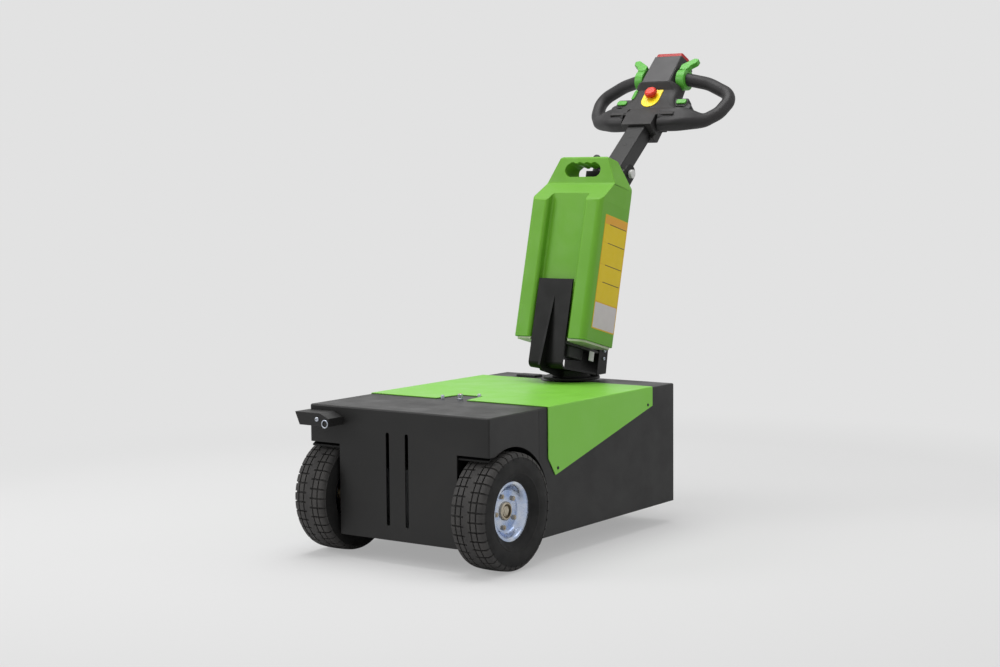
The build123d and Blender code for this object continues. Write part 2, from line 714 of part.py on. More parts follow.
# Drive unit: motor and gearbox as one block with its axle tubes and flange bearings
bearing_outer = well_half - SHEET - SEAM
bearing_inner = bearing_outer - BEARING_THICKNESS
with BuildPart() as drive_unit:
    with BuildSketch(Plane.XY.offset(GROUND_CLEARANCE + FLOOR_SHEET)):
        with Locations((0, axle_y + DRIVE_BLOCK_OFFSET)):
            RectangleRounded(DRIVE_BLOCK_WIDTH, DRIVE_BLOCK_LENGTH, DRIVE_BLOCK_CORNER)
    extrude(amount=DRIVE_BLOCK_HEIGHT)
    with BuildSketch(side_plane(0)):
        with Locations((axle_y, TYRE_RADIUS)):
            Circle(AXLE_TUBE_RADIUS)
    extrude(amount=bearing_outer, both=True)
    for side in (-1, 1):
        with BuildSketch(side_plane(side * bearing_inner)):
            with Locations((axle_y, TYRE_RADIUS)):
                Circle(BEARING_RADIUS)
        extrude(amount=side * BEARING_THICKNESS)
        with BuildSketch(side_plane(side * bearing_inner)):
            with Locations((axle_y, TYRE_RADIUS)):
                Circle(STUB_RADIUS + RUNNING_CLEARANCE)
        extrude(amount=side * BEARING_THICKNESS, mode=Mode.SUBTRACT)
keep("drive_unit", drive_unit.part)

# Steering head: the bearing tube that carries the turntable's shaft, with a flange on the body's top
with BuildPart() as steering_head:
    with BuildSketch(Plane.XY.offset(BRIDGE_HEIGHT + BRIDGE_SHEET)):
        with Locations((0, steer_y)):
            Circle(HEAD_TUBE_RADIUS)
            Circle(SHAFT_RADIUS + RUNNING_CLEARANCE, mode=Mode.SUBTRACT)
    extrude(amount=BODY_TOP + TURNTABLE_LIFT - SEAM - BRIDGE_HEIGHT - BRIDGE_SHEET)
keep("steering_head", steering_head.part)

# Release handle: a folded pull cap over the hitch latch
handle_left = -body_half - HANDLE_OVERHANG
handle_right = handle_left + HANDLE_WIDTH
with BuildPart() as release_handle:
    with BuildSketch(Plane.XZ.offset(-HITCH_FACE)):
        with BuildLine():
            Polyline(
                (handle_left, HANDLE_TOP),
                (handle_right - HANDLE_SLOPE, HANDLE_TOP),
                (handle_right, HANDLE_TOP - HANDLE_SHOULDER),
                (handle_right, HANDLE_BOTTOM),
                (handle_left + HANDLE_TAPER, HANDLE_BOTTOM),
                close=True,
            )
        make_face()
    extrude(amount=HANDLE_REACH)
    face_ends = release_handle.faces().filter_by(Axis.Y).sort_by(Axis.Y)[-1:]
    offset(amount=-HANDLE_SHEET, openings=face_ends + release_handle.faces().sort_by(Axis.Z)[:1])
keep("release_handle", release_handle.part)

# Charging socket cover on the rear strip of the top
with BuildPart() as socket:
    with BuildSketch(Plane.XY.offset(BODY_TOP)):
        with Locations((SOCKET_X, body_rear - SOCKET_INSET)):
            RectangleRounded(SOCKET_WIDTH, SOCKET_LENGTH, SOCKET_CORNER)
    extrude(amount=SOCKET_HEIGHT)
    chamfer(socket.faces().sort_by(Axis.Z)[-1].edges(), SOCKET_CHAMFER)
keep("socket_cover", socket.part)

# Turntable, shaft and castor
turntable_z = BODY_TOP + TURNTABLE_LIFT
turntable_top = turntable_z + TURNTABLE_THICKNESS
crown_top = 2 * CASTOR_RADIUS + CROWN_GAP + CROWN_THICKNESS
fork_inner = CASTOR_WIDTH / 2 + FORK_GAP
fork_foot = CASTOR_BORE + FORK_FOOT_WALL
fork_leg_half = CROWN_LENGTH / 2 - FORK_SHEET
fork_leg_top = crown_top - CROWN_THICKNESS

with BuildPart() as turntable:
    with BuildSketch(Plane.XY.offset(turntable_z)):
        with Locations((0, steer_y)):
            Circle(TURNTABLE_RADIUS)
    extrude(amount=TURNTABLE_THICKNESS)
    chamfer(turntable.faces().sort_by(Axis.Z)[-1].edges(), TURNTABLE_CHAMFER)
    with BuildSketch(Plane.XY.offset(turntable_z)):
        with Locations((0, steer_y)):
            Circle(SHAFT_RADIUS)
    extrude(amount=crown_top - turntable_z)
keep("turntable", turntable.part)

with BuildPart() as castor_fork:
    with BuildSketch(Plane.XY.offset(fork_leg_top)):
        with Locations((0, steer_y)):
            RectangleRounded(2 * (fork_inner + FORK_SHEET), CROWN_LENGTH, FORK_SHEET)
    extrude(amount=CROWN_THICKNESS)
    for side in (-1, 1):
        with BuildSketch(side_plane(side * fork_inner)):
            with BuildLine():
                Polyline(
                    (steer_y - fork_leg_half, fork_leg_top),
                    (steer_y + fork_leg_half, fork_leg_top),
                    (steer_y + fork_foot, CASTOR_RADIUS),
                )
                ThreePointArc(
                    (steer_y + fork_foot, CASTOR_RADIUS),
                    (steer_y, CASTOR_RADIUS - fork_foot),
                    (steer_y - fork_foot, CASTOR_RADIUS),
                )
                Line((steer_y - fork_foot, CASTOR_RADIUS), (steer_y - fork_leg_half, fork_leg_top))
            make_face()
            with Locations((steer_y, CASTOR_RADIUS)):
                Circle(CASTOR_BORE, mode=Mode.SUBTRACT)
        extrude(amount=side * FORK_SHEET)
keep("castor_fork", castor_fork.part)

with BuildPart() as castor_axle:
    axle_half = fork_inner + FORK_SHEET
    with BuildSketch(side_plane(0)):
        with Locations((steer_y, CASTOR_RADIUS)):
            Circle(CASTOR_BORE)
    extrude(amount=axle_half, both=True)
    for side in (-1, 1):
        with BuildSketch(side_plane(side * axle_half)):
            with Locations((steer_y, CASTOR_RADIUS)):
                RegularPolygon(radius=CASTOR_BORE + CASTOR_NUT_WALL, side_count=6)
        extrude(amount=side * FORK_SHEET)
keep("castor_axle", castor_axle.part)

castor_line = Axis((0, steer_y, CASTOR_RADIUS), (1, 0, 0))
castor_plane = Plane(origin=(0, steer_y, CASTOR_RADIUS), x_dir=(1, 0, 0), z_dir=(0, -1, 0))
castor_half = CASTOR_WIDTH / 2

rim_half = castor_half - FORK_GAP / 2
rim_hub_half = castor_half + FORK_GAP - RUNNING_GAP
castor_hub_radius = CASTOR_BORE + CASTOR_HUB_WALL
with BuildPart() as castor_rim:
    with BuildSketch(castor_plane):
        with BuildLine():
            Polyline(
                (-rim_hub_half, CASTOR_BORE + RUNNING_CLEARANCE),
                (-rim_hub_half, castor_hub_radius),
                (-rim_half + FORK_GAP, castor_hub_radius),
                (-rim_half + CASTOR_DISH, CASTOR_RIM_RADIUS - CASTOR_DISH),
                (-rim_half, CASTOR_RIM_RADIUS - CASTOR_RIM_EDGE),
                (-rim_half, CASTOR_RIM_RADIUS),
                (rim_half, CASTOR_RIM_RADIUS),
                (rim_half, CASTOR_RIM_RADIUS - CASTOR_RIM_EDGE),
                (rim_half - CASTOR_DISH, CASTOR_RIM_RADIUS - CASTOR_DISH),
                (rim_half - FORK_GAP, castor_hub_radius),
                (rim_hub_half, castor_hub_radius),
                (rim_hub_half, CASTOR_BORE + RUNNING_CLEARANCE),
                close=True,
            )
        make_face()
    revolve(axis=castor_line)
keep("castor_rim", castor_rim.part)

# the castor's tyre is made of flat facets and stands on one
with BuildPart() as castor_tyre:
    with BuildSketch(side_plane(0)):
        with Locations((steer_y, CASTOR_RADIUS)):
            RegularPolygon(CASTOR_RADIUS, CASTOR_FACETS, major_radius=False, rotation=180 / CASTOR_FACETS)
    extrude(amount=castor_half, both=True)
    end_faces = castor_tyre.faces().filter_by(Axis.X)
    chamfer(end_faces.edges(), CASTOR_BEVEL)
    with BuildSketch(side_plane(0)):
        with Locations((steer_y, CASTOR_RADIUS)):
            Circle(CASTOR_RIM_RADIUS)
    extrude(amount=castor_half, both=True, mode=Mode.SUBTRACT)
keep("castor_tyre", castor_tyre.part)

# Battery pack: a moulded case with two front lobes, a channel between them, and a hand grip in its neck
with BuildPart() as battery_case:
    half_pack = PACK_WIDTH / 2
    with BuildSketch(pack_plane) as pack_section:
        with Locations((0, PACK_DEPTH / 2)):
            RectangleRounded(PACK_WIDTH, PACK_DEPTH, PACK_EDGE_RADIUS)
        Rectangle(CHANNEL_WIDTH, 2 * CHANNEL_DEPTH, mode=Mode.SUBTRACT)
        front_corners = pack_section.vertices().group_by(Axis.Y)[0].sort_by(Axis.X)
        fillet(front_corners[1:3], CHANNEL_MOUTH_RADIUS)
        floor_corners = pack_section.vertices().filter_by(lambda corner: abs(corner.Y - CHANNEL_DEPTH) < SEAM)
        fillet(floor_corners, CHANNEL_FLOOR_RADIUS)
    extrude(amount=PACK_HEIGHT)
    with BuildSketch(pack_side):
        with BuildLine():
            FilletPolyline(
                (0, 0),
                (0, pack_shoulder),
                (NECK_FRONT, pack_neck),
                (NECK_FRONT, PACK_HEIGHT),
                (NECK_BACK, PACK_HEIGHT),
                (PACK_DEPTH, pack_neck),
                (PACK_DEPTH, 0),
                radius=[SHOULDER_ROUNDING, NECK_ROUNDING, TOP_ROUNDING, TOP_ROUNDING, NECK_ROUNDING],
            )
            Line((PACK_DEPTH, 0), (0, 0))
        make_face()
    extrude(amount=half_pack, both=True, mode=Mode.INTERSECT)
    with BuildSketch(pack_face):
        with BuildLine():
            FilletPolyline(
                (-half_pack, 0),
                (-half_pack, pack_shoulder),
                (-PACK_NECK_WIDTH / 2, pack_neck),
                (-PACK_TOP_WIDTH / 2, PACK_HEIGHT),
                (PACK_TOP_WIDTH / 2, PACK_HEIGHT),
                (PACK_NECK_WIDTH / 2, pack_neck),
                (half_pack, pack_shoulder),
                (half_pack, 0),
                radius=[
                    SHOULDER_ROUNDING, SHOULDER_ROUNDING, NECK_ROUNDING,
                    NECK_ROUNDING, SHOULDER_ROUNDING, SHOULDER_ROUNDING,
                ],
            )
            Line((half_pack, 0), (-half_pack, 0))
        make_face()
    extrude(amount=-PACK_DEPTH, mode=Mode.INTERSECT)
    with BuildSketch(pack_face):
        with Locations((0, PACK_HEIGHT - OPENING_DROP)):
            SlotOverall(OPENING_WIDTH, OPENING_HEIGHT)
        with Locations((0, PACK_HEIGHT - OPENING_DROP + OPENING_HEIGHT / 2 - SCALLOP_SINK)):
            with GridLocations(SCALLOP_SPACING, 0, SCALLOPS, 1):
                Circle(SCALLOP_RADIUS)
    extrude(amount=-PACK_DEPTH, mode=Mode.SUBTRACT)
keep("battery_case", battery_case.part)

with BuildPart() as battery_foot:
    with BuildSketch(pack_plane):
        with Locations((0, PACK_DEPTH / 2)):
            RectangleRounded(PACK_WIDTH - 2 * FOOT_INSET, PACK_DEPTH - 2 * FOOT_INSET, PACK_EDGE_RADIUS)
        Rectangle(CHANNEL_WIDTH, 2 * (CHANNEL_DEPTH + FOOT_INSET), mode=Mode.SUBTRACT)
    extrude(amount=-FOOT_THICKNESS)
keep("battery_foot", battery_foot.part)

# Post's two long edges, given along the pack: how far back the front edge and the rear edge are
pivot_local = pack_plane.to_local_coords(Vector(pivot_point))
pivot_up = pivot_local.Z
pivot_back = pivot_local.Y
ear_low = pivot_up - EAR_DROP


def post_front(up):
    """Distance behind the pack's front of the post's front edge, at a height along the pack."""
    return PACK_DEPTH + POST_FOOT_GAP + (POST_GAP - POST_FOOT_GAP) * up / POST_TOP


def post_rear(up):
    """Distance behind the pack's front of the post's rear edge, at a height along the pack."""
    foot = PACK_DEPTH + POST_FOOT_GAP + POST_FOOT_DEPTH
    head = post_front(ear_low) + POST_HEAD_DEPTH
    return foot + (head - foot) * up / ear_low


# Cradle: one bent plate from the front of the pack, down and back to the post, on a round pedestal, with a
# stiffening fin that runs down in front of it
web_slope = (POST_GAP - POST_FOOT_GAP) / POST_TOP
foot_up = (turntable_top - PACK_FOOT_Z + post_front(0) * sin(lean)) / (cos(lean) - web_slope * sin(lean))
web_foot = pack_point(0, foot_up, post_front(foot_up))
plate_middle = CRADLE_FACE_SETBACK + CRADLE_SHEET / 2
plate_top = pack_point(0, CRADLE_TOP, plate_middle)
plate_foot = pack_point(0, CRADLE_BOTTOM, plate_middle)
floor_rear_y = web_foot.Y - RUNNING_GAP
floor_rear_z = turntable_top + CRADLE_SHEET / 2 + RUNNING_GAP


def floor_z_at(y):
    """Height of the middle of the cradle's floor plate at a place along Y."""
    return plate_foot.Z + (floor_rear_z - plate_foot.Z) * (y - plate_foot.Y) / (floor_rear_y - plate_foot.Y)


pedestal_front = steer_y - PEDESTAL_RADIUS
with BuildPart() as pedestal:
    with BuildSketch(side_plane(0)):
        with BuildLine():
            Polyline(
                (pedestal_front, turntable_top),
                (floor_rear_y, turntable_top),
                (floor_rear_y, floor_rear_z),
                (pedestal_front, floor_z_at(pedestal_front)),
                close=True,
            )
        make_face()
    extrude(amount=PEDESTAL_RADIUS, both=True)
    with BuildSketch(Plane.XY.offset(turntable_top)):
        with Locations((0, steer_y)):
            Circle(PEDESTAL_RADIUS)
    extrude(amount=PEDESTAL_RADIUS, mode=Mode.INTERSECT)

with BuildPart() as cradle:
    with BuildSketch(side_plane(0)):
        with BuildLine():
            FilletPolyline(
                (plate_top.Y, plate_top.Z),
                (plate_foot.Y, plate_foot.Z),
                (floor_rear_y, floor_rear_z),
                radius=CRADLE_BEND,
            )
        trace(line_width=CRADLE_SHEET)
    extrude(amount=CRADLE_WIDTH / 2, both=True)
    add(pedestal.part)
    fin_top = pack_point(0, FIN_TOP, CRADLE_FACE_SETBACK)
    fin_low = pack_point(0, CRADLE_BOTTOM, CRADLE_FACE_SETBACK - FIN_REACH)
    fin_toe = pack_point(0, CRADLE_BOTTOM - FIN_TOE_DROP, CRADLE_FACE_SETBACK - FIN_TOE_REACH)
    fin_heel = pedestal_front + CRADLE_SHEET
    with BuildSketch(side_plane(0)):
        with BuildLine():
            Polyline(
                (fin_top.Y, fin_top.Z),
                (fin_low.Y, fin_low.Z),
                (fin_toe.Y, fin_toe.Z),
                (pedestal_front, turntable_top),
                (fin_heel, turntable_top),
                (fin_heel, floor_z_at(fin_heel)),
                (plate_foot.Y + CRADLE_BEND, floor_z_at(plate_foot.Y + CRADLE_BEND)),
                (pack_point(0, CRADLE_BOTTOM + CRADLE_BEND, plate_middle).Y, plate_foot.Z + CRADLE_BEND),
                (fin_top.Y + FIN_SINK, fin_top.Z),
                close=True,
            )
        make_face()
    extrude(amount=FIN_THICKNESS / 2, both=True)
keep("cradle", cradle.part)

# Seat under the pack, with the plug housing that the pack drops onto
seat_width = CRADLE_WIDTH - 2 * SEAT_SIDE_GAP
seat_front = CRADLE_FACE_SETBACK + CRADLE_SHEET
seat_top = -FOOT_THICKNESS - SEAT_GAP
seat_bottom = seat_top - SEAT_THICKNESS
seat_middle = (seat_front + post_front(0)) / 2
with BuildPart() as battery_seat:
    with BuildSketch(pack_side):
        with BuildLine():
            Polyline(
                (seat_front, seat_top),
                (post_front(seat_top), seat_top),
                (post_front(seat_bottom), seat_bottom),
                (seat_front, seat_bottom),
                close=True,
            )
        make_face()
    extrude(amount=seat_width / 2, both=True)
    with BuildSketch(pack_plane.offset(seat_bottom)):
        with Locations((0, seat_middle)):
            RectangleRounded(CONNECTOR_WIDTH, CONNECTOR_LENGTH, CONNECTOR_CORNER)
    extrude(amount=-CONNECTOR_DEPTH)
keep("battery_seat", battery_seat.part)

# Post: a folded channel open to the rear, whose flanges reach back as ears for the tiller
flange_foot = foot_up - POST_WIDTH
with BuildPart() as post:
    for side in (-1, 1):
        with BuildSketch(pack_side.offset(side * POST_WIDTH / 2)):
            with BuildLine():
                Polyline(
                    (post_front(flange_foot), flange_foot),
                    (post_rear(flange_foot), flange_foot),
                    (post_rear(ear_low), ear_low),
                    (pivot_back + EAR_RADIUS, pivot_up),
                )
                ThreePointArc(
                    (pivot_back + EAR_RADIUS, pivot_up),
                    (pivot_back, pivot_up + EAR_RADIUS),
                    (pivot_back - EAR_RADIUS, pivot_up),
                )
                Polyline(
                    (pivot_back - EAR_RADIUS, pivot_up),
                    (post_front(POST_TOP), POST_TOP),
                    (post_front(flange_foot), flange_foot),
                )
            make_face()
            with Locations((pivot_back, pivot_up)):
                Circle(PIVOT_RADIUS, mode=Mode.SUBTRACT)
        extrude(amount=-side * POST_SHEET)
    with BuildSketch(pack_side):
        with BuildLine():
            Polyline(
                (post_front(flange_foot), flange_foot),
                (post_front(flange_foot) + POST_SHEET, flange_foot),
                (post_front(POST_TOP) + POST_SHEET, POST_TOP),
                (post_front(POST_TOP), POST_TOP),
                close=True,
            )
        make_face()
    extrude(amount=POST_WIDTH / 2, both=True)
    split(bisect_by=Plane.XY.offset(turntable_top), keep=Keep.TOP)
keep("post", post.part)

# Tilt joint: pivot bolt, clamping knob and the pack's latch plunger
ear_outer = POST_WIDTH / 2
with BuildPart() as pivot_bolt:
    with BuildSketch(side_plane(0)):
        with Locations((pivot_point[1], pivot_point[2])):
            Circle(PIVOT_RADIUS)
    extrude(amount=ear_outer, both=True)
    with BuildSketch(side_plane(-ear_outer)):
        with Locations((pivot_point[1], pivot_point[2])):
            RegularPolygon(radius=BOLT_HEAD_RADIUS, side_count=6)
    extrude(amount=-BOLT_HEAD_LENGTH)
keep("pivot_bolt", pivot_bolt.part)

with BuildPart() as tilt_knob:
    with BuildSketch(side_plane(ear_outer)):
        with Locations((pivot_point[1], pivot_point[2])):
            Circle(KNOB_RADIUS)
    extrude(amount=KNOB_LENGTH)
    fillet(tilt_knob.faces().sort_by(Axis.X)[-1].edges(), KNOB_ROUNDING)
keep("tilt_knob", tilt_knob.part)

with BuildPart() as latch_knob:
    latch_side = -(POST_WIDTH / 2 - POST_SHEET)
    with BuildSketch(pack_plane.offset(POST_TOP - LATCH_BLOCK)):
        with Locations(((latch_side + LATCH_X + LATCH_STEM_RADIUS) / 2, LATCH_DEP)):
            Rectangle(LATCH_X + LATCH_STEM_RADIUS - latch_side, 2 * LATCH_STEM_RADIUS)
    extrude(amount=LATCH_BLOCK)
    with BuildSketch(pack_plane.offset(POST_TOP)):
        with Locations((LATCH_X, LATCH_DEP)):
            Circle(LATCH_STEM_RADIUS)
    extrude(amount=LATCH_TOP - POST_TOP - LATCH_KNOB_RADIUS)
    with Locations(pack_point(LATCH_X, LATCH_TOP - LATCH_KNOB_RADIUS, LATCH_DEP)):
        Sphere(LATCH_KNOB_RADIUS)
keep("latch_knob", latch_knob.part)

# Tiller tube, with the cross bush that turns on the pivot bolt
bush_half = POST_WIDTH / 2 - POST_SHEET - BUSH_GAP
with BuildPart() as tiller_tube:
    with BuildSketch(tube_plane.offset(-TUBE_TAIL)):
        RectangleRounded(TUBE_WIDTH, TUBE_DEPTH, TUBE_CORNER)
        RectangleRounded(
            TUBE_WIDTH - 2 * TUBE_WALL, TUBE_DEPTH - 2 * TUBE_WALL, TUBE_INNER_CORNER, mode=Mode.SUBTRACT
        )
    extrude(amount=TUBE_TAIL + TUBE_LENGTH)
    for radius, mode in ((BUSH_RADIUS, Mode.ADD), (PIVOT_RADIUS + RUNNING_CLEARANCE, Mode.SUBTRACT)):
        with BuildSketch(side_plane(0)):
            with Locations((pivot_point[1], pivot_point[2])):
                Circle(radius)
        extrude(amount=bush_half, both=True, mode=mode)
keep("tiller_tube", tiller_tube.part)

# The room that the tube takes up inside the head, cut out of both mouldings
with BuildPart() as tube_room:
    with BuildSketch(tube_plane.offset(TUBE_LENGTH / 2)):
        RectangleRounded(TUBE_WIDTH + 2 * SOCKET_GAP, TUBE_DEPTH + 2 * SOCKET_GAP, TUBE_CORNER)
    extrude(amount=TUBE_LENGTH / 2 + SOCKET_GAP)

# Head, upper moulding: a panel with a neck, two wings over the loop's ends, a stem whose sides slope in
# towards its raised display, and a pod beside it on each side for a thumb button
head_up = Vector(0, sin(head_tilt), cos(head_tilt))
head_normal = Vector(0, -cos(head_tilt), sin(head_tilt))
half_stem = STEM_WIDTH / 2
half_wing = WING_WIDTH / 2
half_neck = NECK_WIDTH / 2
hollow_x = half_wing - (half_wing - half_stem) * WING_HOLLOW
hollow_up = WING_END + (STEM_START - WING_END) * (1 - WING_HOLLOW)
with BuildPart() as head_upper:
    with BuildSketch(head_plane.offset(DISPLAY_TOP)):
        with BuildLine():
            for side in (-1, 1):
                Polyline(
                    (0, 0),
                    (side * half_neck, 0),
                    (side * half_neck, NECK_LENGTH),
                    (side * half_wing, NECK_LENGTH),
                    (side * half_wing, WING_END),
                )
                ThreePointArc(
                    (side * half_wing, WING_END),
                    (side * hollow_x, hollow_up),
                    (side * half_stem, STEM_START),
                )
                Polyline((side * half_stem, STEM_START), (side * half_stem, HEAD_LENGTH), (0, HEAD_LENGTH))
        make_face()
    extrude(amount=HEAD_SPLIT - DISPLAY_TOP)
    with BuildSketch(head_side):
        with BuildLine():
            Polyline(
                (0, 0),
                (NECK_LENGTH, NECK_DIP),
                (WING_END + HEAD_DIP_MARGIN, HEAD_DIP),
                (DISPLAY_FOOT, HEAD_DIP),
                (DISPLAY_START, DISPLAY_TOP),
                (HEAD_LENGTH, PANEL_END),
                (HEAD_LENGTH, HEAD_SPLIT),
                (0, HEAD_SPLIT),
                close=True,
            )
        make_face()
    extrude(amount=WING_WIDTH, both=True, mode=Mode.INTERSECT)
    for side in (-1, 1):
        slope_out = Vector(side * PANEL_SLOPE, 0, 0) - head_normal
        with BuildSketch(head_plane.offset(HEAD_DIP)):
            with BuildLine():
                Polyline(
                    (side * half_stem, STEM_START),
                    (side * (half_stem - PANEL_TAPER), HEAD_LENGTH + CUT_OVERRUN),
                    (side * half_wing, HEAD_LENGTH + CUT_OVERRUN),
                    (side * half_wing, STEM_START),
                    close=True,
                )
            make_face()
        extrude(amount=-HEAD_SPLIT, dir=slope_out, both=True, mode=Mode.SUBTRACT)
        with BuildSketch(head_plane.offset(POD_TOP)):
            with Locations((side * POD_X, POD_UP)):
                RectangleRounded(POD_WIDTH, POD_LENGTH, POD_CORNER)
        extrude(amount=HEAD_SPLIT - POD_TOP)
    add(tube_room.part, mode=Mode.SUBTRACT)
keep("head_upper", head_upper.part)

# Head, lower moulding: the belly under the panel, with the socket that grips the tube
with BuildPart() as head_lower:
    with BuildSketch(head_plane.offset(HEAD_SPLIT)):
        with Locations((0, HEAD_LENGTH / 2 + NECK_LENGTH / 2)):
            Rectangle(STEM_WIDTH, HEAD_LENGTH - NECK_LENGTH)
        with Locations((0, NECK_LENGTH / 2 - SOCKET_OVERHANG / 2)):
            Rectangle(NECK_WIDTH - 2 * SOCKET_WALL_INSET, NECK_LENGTH + SOCKET_OVERHANG)
    extrude(amount=HEAD_FLOOR - HEAD_SPLIT)
    with BuildSketch(head_side):
        with BuildLine():
            Polyline(
                (-SOCKET_OVERHANG, HEAD_SPLIT),
                (-SOCKET_OVERHANG, HEAD_FLOOR + SOCKET_CHIN),
                (0, HEAD_FLOOR),
                (DISPLAY_START, HEAD_FLOOR),
                (HEAD_LENGTH, belly_floor),
                (HEAD_LENGTH, HEAD_SPLIT),
                close=True,
            )
        make_face()
    extrude(amount=WING_WIDTH, both=True, mode=Mode.INTERSECT)
    add(tube_room.part, mode=Mode.SUBTRACT)
keep("head_lower", head_lower.part)

# Loop handle, throttles and side buttons, left and right
droop = radians(LOOP_DROOP)
throttle_centre_n = LOOP_ROOT_N - (THROTTLE_START + THROTTLE_WIDTH - LOOP_ROOT_X) * tan(droop)


def head_point(x, up, normal):
    """Row-frame place of a point given on the head: across, up the head, and out of its panel."""
    return Vector(head_origin) + Vector(x, 0, 0) + head_up * up + head_normal * normal


for name, side in (("left", -1), ("right", 1)):
    outward = Vector(side * cos(droop), 0, 0) - head_normal * sin(droop)
    loop_plane = Plane(
        origin=head_point(side * LOOP_ROOT_X, 0, LOOP_ROOT_N), x_dir=outward, z_dir=outward.cross(head_up)
    )
    throttle_root = head_point(side * THROTTLE_START, LOOP_TOP, throttle_centre_n)
    throttle_axis = Plane(origin=throttle_root, x_dir=head_up, z_dir=(side, 0, 0))

    with BuildPart() as grip:
        with BuildLine(loop_plane) as loop_path:
            FilletPolyline(
                (LOOP_ROOT_GAP, LOOP_TOP),
                *[(LOOP_REACH - inside, LOOP_TOP - down) for inside, down, _ in LOOP_BENDS],
                (LOOP_ROOT_GAP, LOOP_BOTTOM - LOOP_END_DROP),
                radius=[radius for _, _, radius in LOOP_BENDS],
            )
        start_plane = Plane(origin=loop_path.line @ 0, z_dir=loop_path.line % 0)
        with BuildSketch(start_plane):
            Circle(GRIP_RADIUS)
        sweep(path=loop_path.line)
        add(head_upper.part, mode=Mode.SUBTRACT)
        add(head_lower.part, mode=Mode.SUBTRACT)
        with BuildSketch(throttle_axis.offset(-THROTTLE_WIDTH)):
            Circle(THROTTLE_RADIUS + RUNNING_GAP)
        extrude(amount=2 * THROTTLE_WIDTH + RUNNING_GAP, mode=Mode.SUBTRACT)
        with BuildSketch(throttle_axis.offset(STEM_WIDTH / 2 - THROTTLE_START)):
            Circle(THROTTLE_BORE)
        extrude(amount=THROTTLE_WIDTH + GRIP_RADIUS)
    keep(f"grip_{name}", grip.part)

    with BuildPart() as throttle:
        with BuildSketch(throttle_axis):
            Circle(THROTTLE_RADIUS)
            Circle(THROTTLE_BORE + RUNNING_GAP, mode=Mode.SUBTRACT)
        extrude(amount=THROTTLE_WIDTH)
        with BuildSketch(head_plane) as thumb_wing:
            with BuildLine():
                Polyline(*[(side * x, up) for x, up in THROTTLE_WING], close=True)
            make_face()
            fillet(thumb_wing.vertices(), THROTTLE_WING_ROUNDING)
        extrude(amount=-THROTTLE_WING_DEPTH)
    keep(f"throttle_{name}", throttle.part)

    with BuildPart() as side_button:
        with BuildSketch(head_plane.offset(POD_TOP)):
            with Locations((side * SIDE_BUTTON_X, POD_UP)):
                RectangleRounded(SIDE_BUTTON_WIDTH, SIDE_BUTTON_LENGTH, SIDE_BUTTON_CORNER)
        extrude(amount=SIDE_BUTTON_HEIGHT)
    keep(f"side_button_{name}", side_button.part)

# Horn button on the left side of the stem
with BuildPart() as horn_button:
    horn_place = head_point(-half_stem, HORN_UP, HORN_NORMAL)
    with BuildSketch(Plane(origin=horn_place, x_dir=head_up, z_dir=(-1, 0, 0))):
        RectangleRounded(HORN_LENGTH, HORN_WIDTH, HORN_CORNER)
    extrude(amount=HORN_HEIGHT)
    chamfer(horn_button.faces().sort_by(Axis.X)[0].edges(), HORN_CHAMFER)
keep("horn_button", horn_button.part)

# Belly button across the top end of the head
with BuildPart() as belly_button:
    belly_end = Plane(origin=head_point(0, HEAD_LENGTH, 0), x_dir=(1, 0, 0), z_dir=head_up)
    with BuildSketch(belly_end) as belly_outline:
        with BuildLine():
            Polyline(
                (-BELLY_TOP_HALF, 0),
                (BELLY_TOP_HALF, 0),
                (BELLY_HALF, BELLY_SLOPE),
                (BELLY_HALF, -belly_floor),
                (-BELLY_HALF, -belly_floor),
                (-BELLY_HALF, BELLY_SLOPE),
                close=True,
            )
        make_face()
        fillet(belly_outline.vertices(), BELLY_CORNER)
    extrude(amount=BELLY_THICKNESS)
    fillet(belly_button.faces().sort_by(Axis(head_origin, tuple(head_up)))[-1].edges(), BELLY_CORNER)
keep("belly_button", belly_button.part)

# Emergency stop: yellow plate, round at its foot, and red mushroom on the panel
with BuildPart() as stop_plate:
    with BuildSketch(head_plane.offset(HEAD_DIP)):
        with Locations((0, STOP_CENTRE - STOP_PLATE_DROP)):
            Circle(STOP_PLATE_RADIUS)
        with Locations((0, STOP_CENTRE - STOP_PLATE_DROP + STOP_PLATE_RISE / 2 + STOP_PLATE_DROP / 2)):
            Rectangle(2 * STOP_PLATE_RADIUS, STOP_PLATE_RISE + STOP_PLATE_DROP)
        with Locations((0, STOP_CENTRE)):
            Circle(STOP_STEM_RADIUS, mode=Mode.SUBTRACT)
    extrude(amount=STOP_PLATE_THICKNESS)
keep("stop_plate", stop_plate.part)

with BuildPart() as stop_button:
    with BuildSketch(head_plane.offset(HEAD_DIP)):
        with Locations((0, STOP_CENTRE)):
            Circle(STOP_STEM_RADIUS - RUNNING_GAP)
    extrude(amount=STOP_STEM_HEIGHT)
    with BuildSketch(head_plane.offset(HEAD_DIP + STOP_STEM_HEIGHT)):
        with Locations((0, STOP_CENTRE)):
            Circle(STOP_BUTTON_RADIUS)
    extrude(amount=STOP_BUTTON_HEIGHT)
    crown = stop_button.faces().sort_by(Axis(head_origin, tuple(head_normal)))[-1]
    fillet(crown.edges(), STOP_CROWN)
keep("stop_button", stop_button.part)

# Export
for name, part in pieces.items():
    export_step(part, f"parts/{name}.step")
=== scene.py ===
"""Looks of the pedestrian electric tow tractor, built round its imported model. Metres, in the row frame:
+Y from the hitch end to the tiller end, +X to the right seen from the hitch end, +Z up."""

import json
import math

import bmesh
import bpy
from mathutils import Matrix, Vector


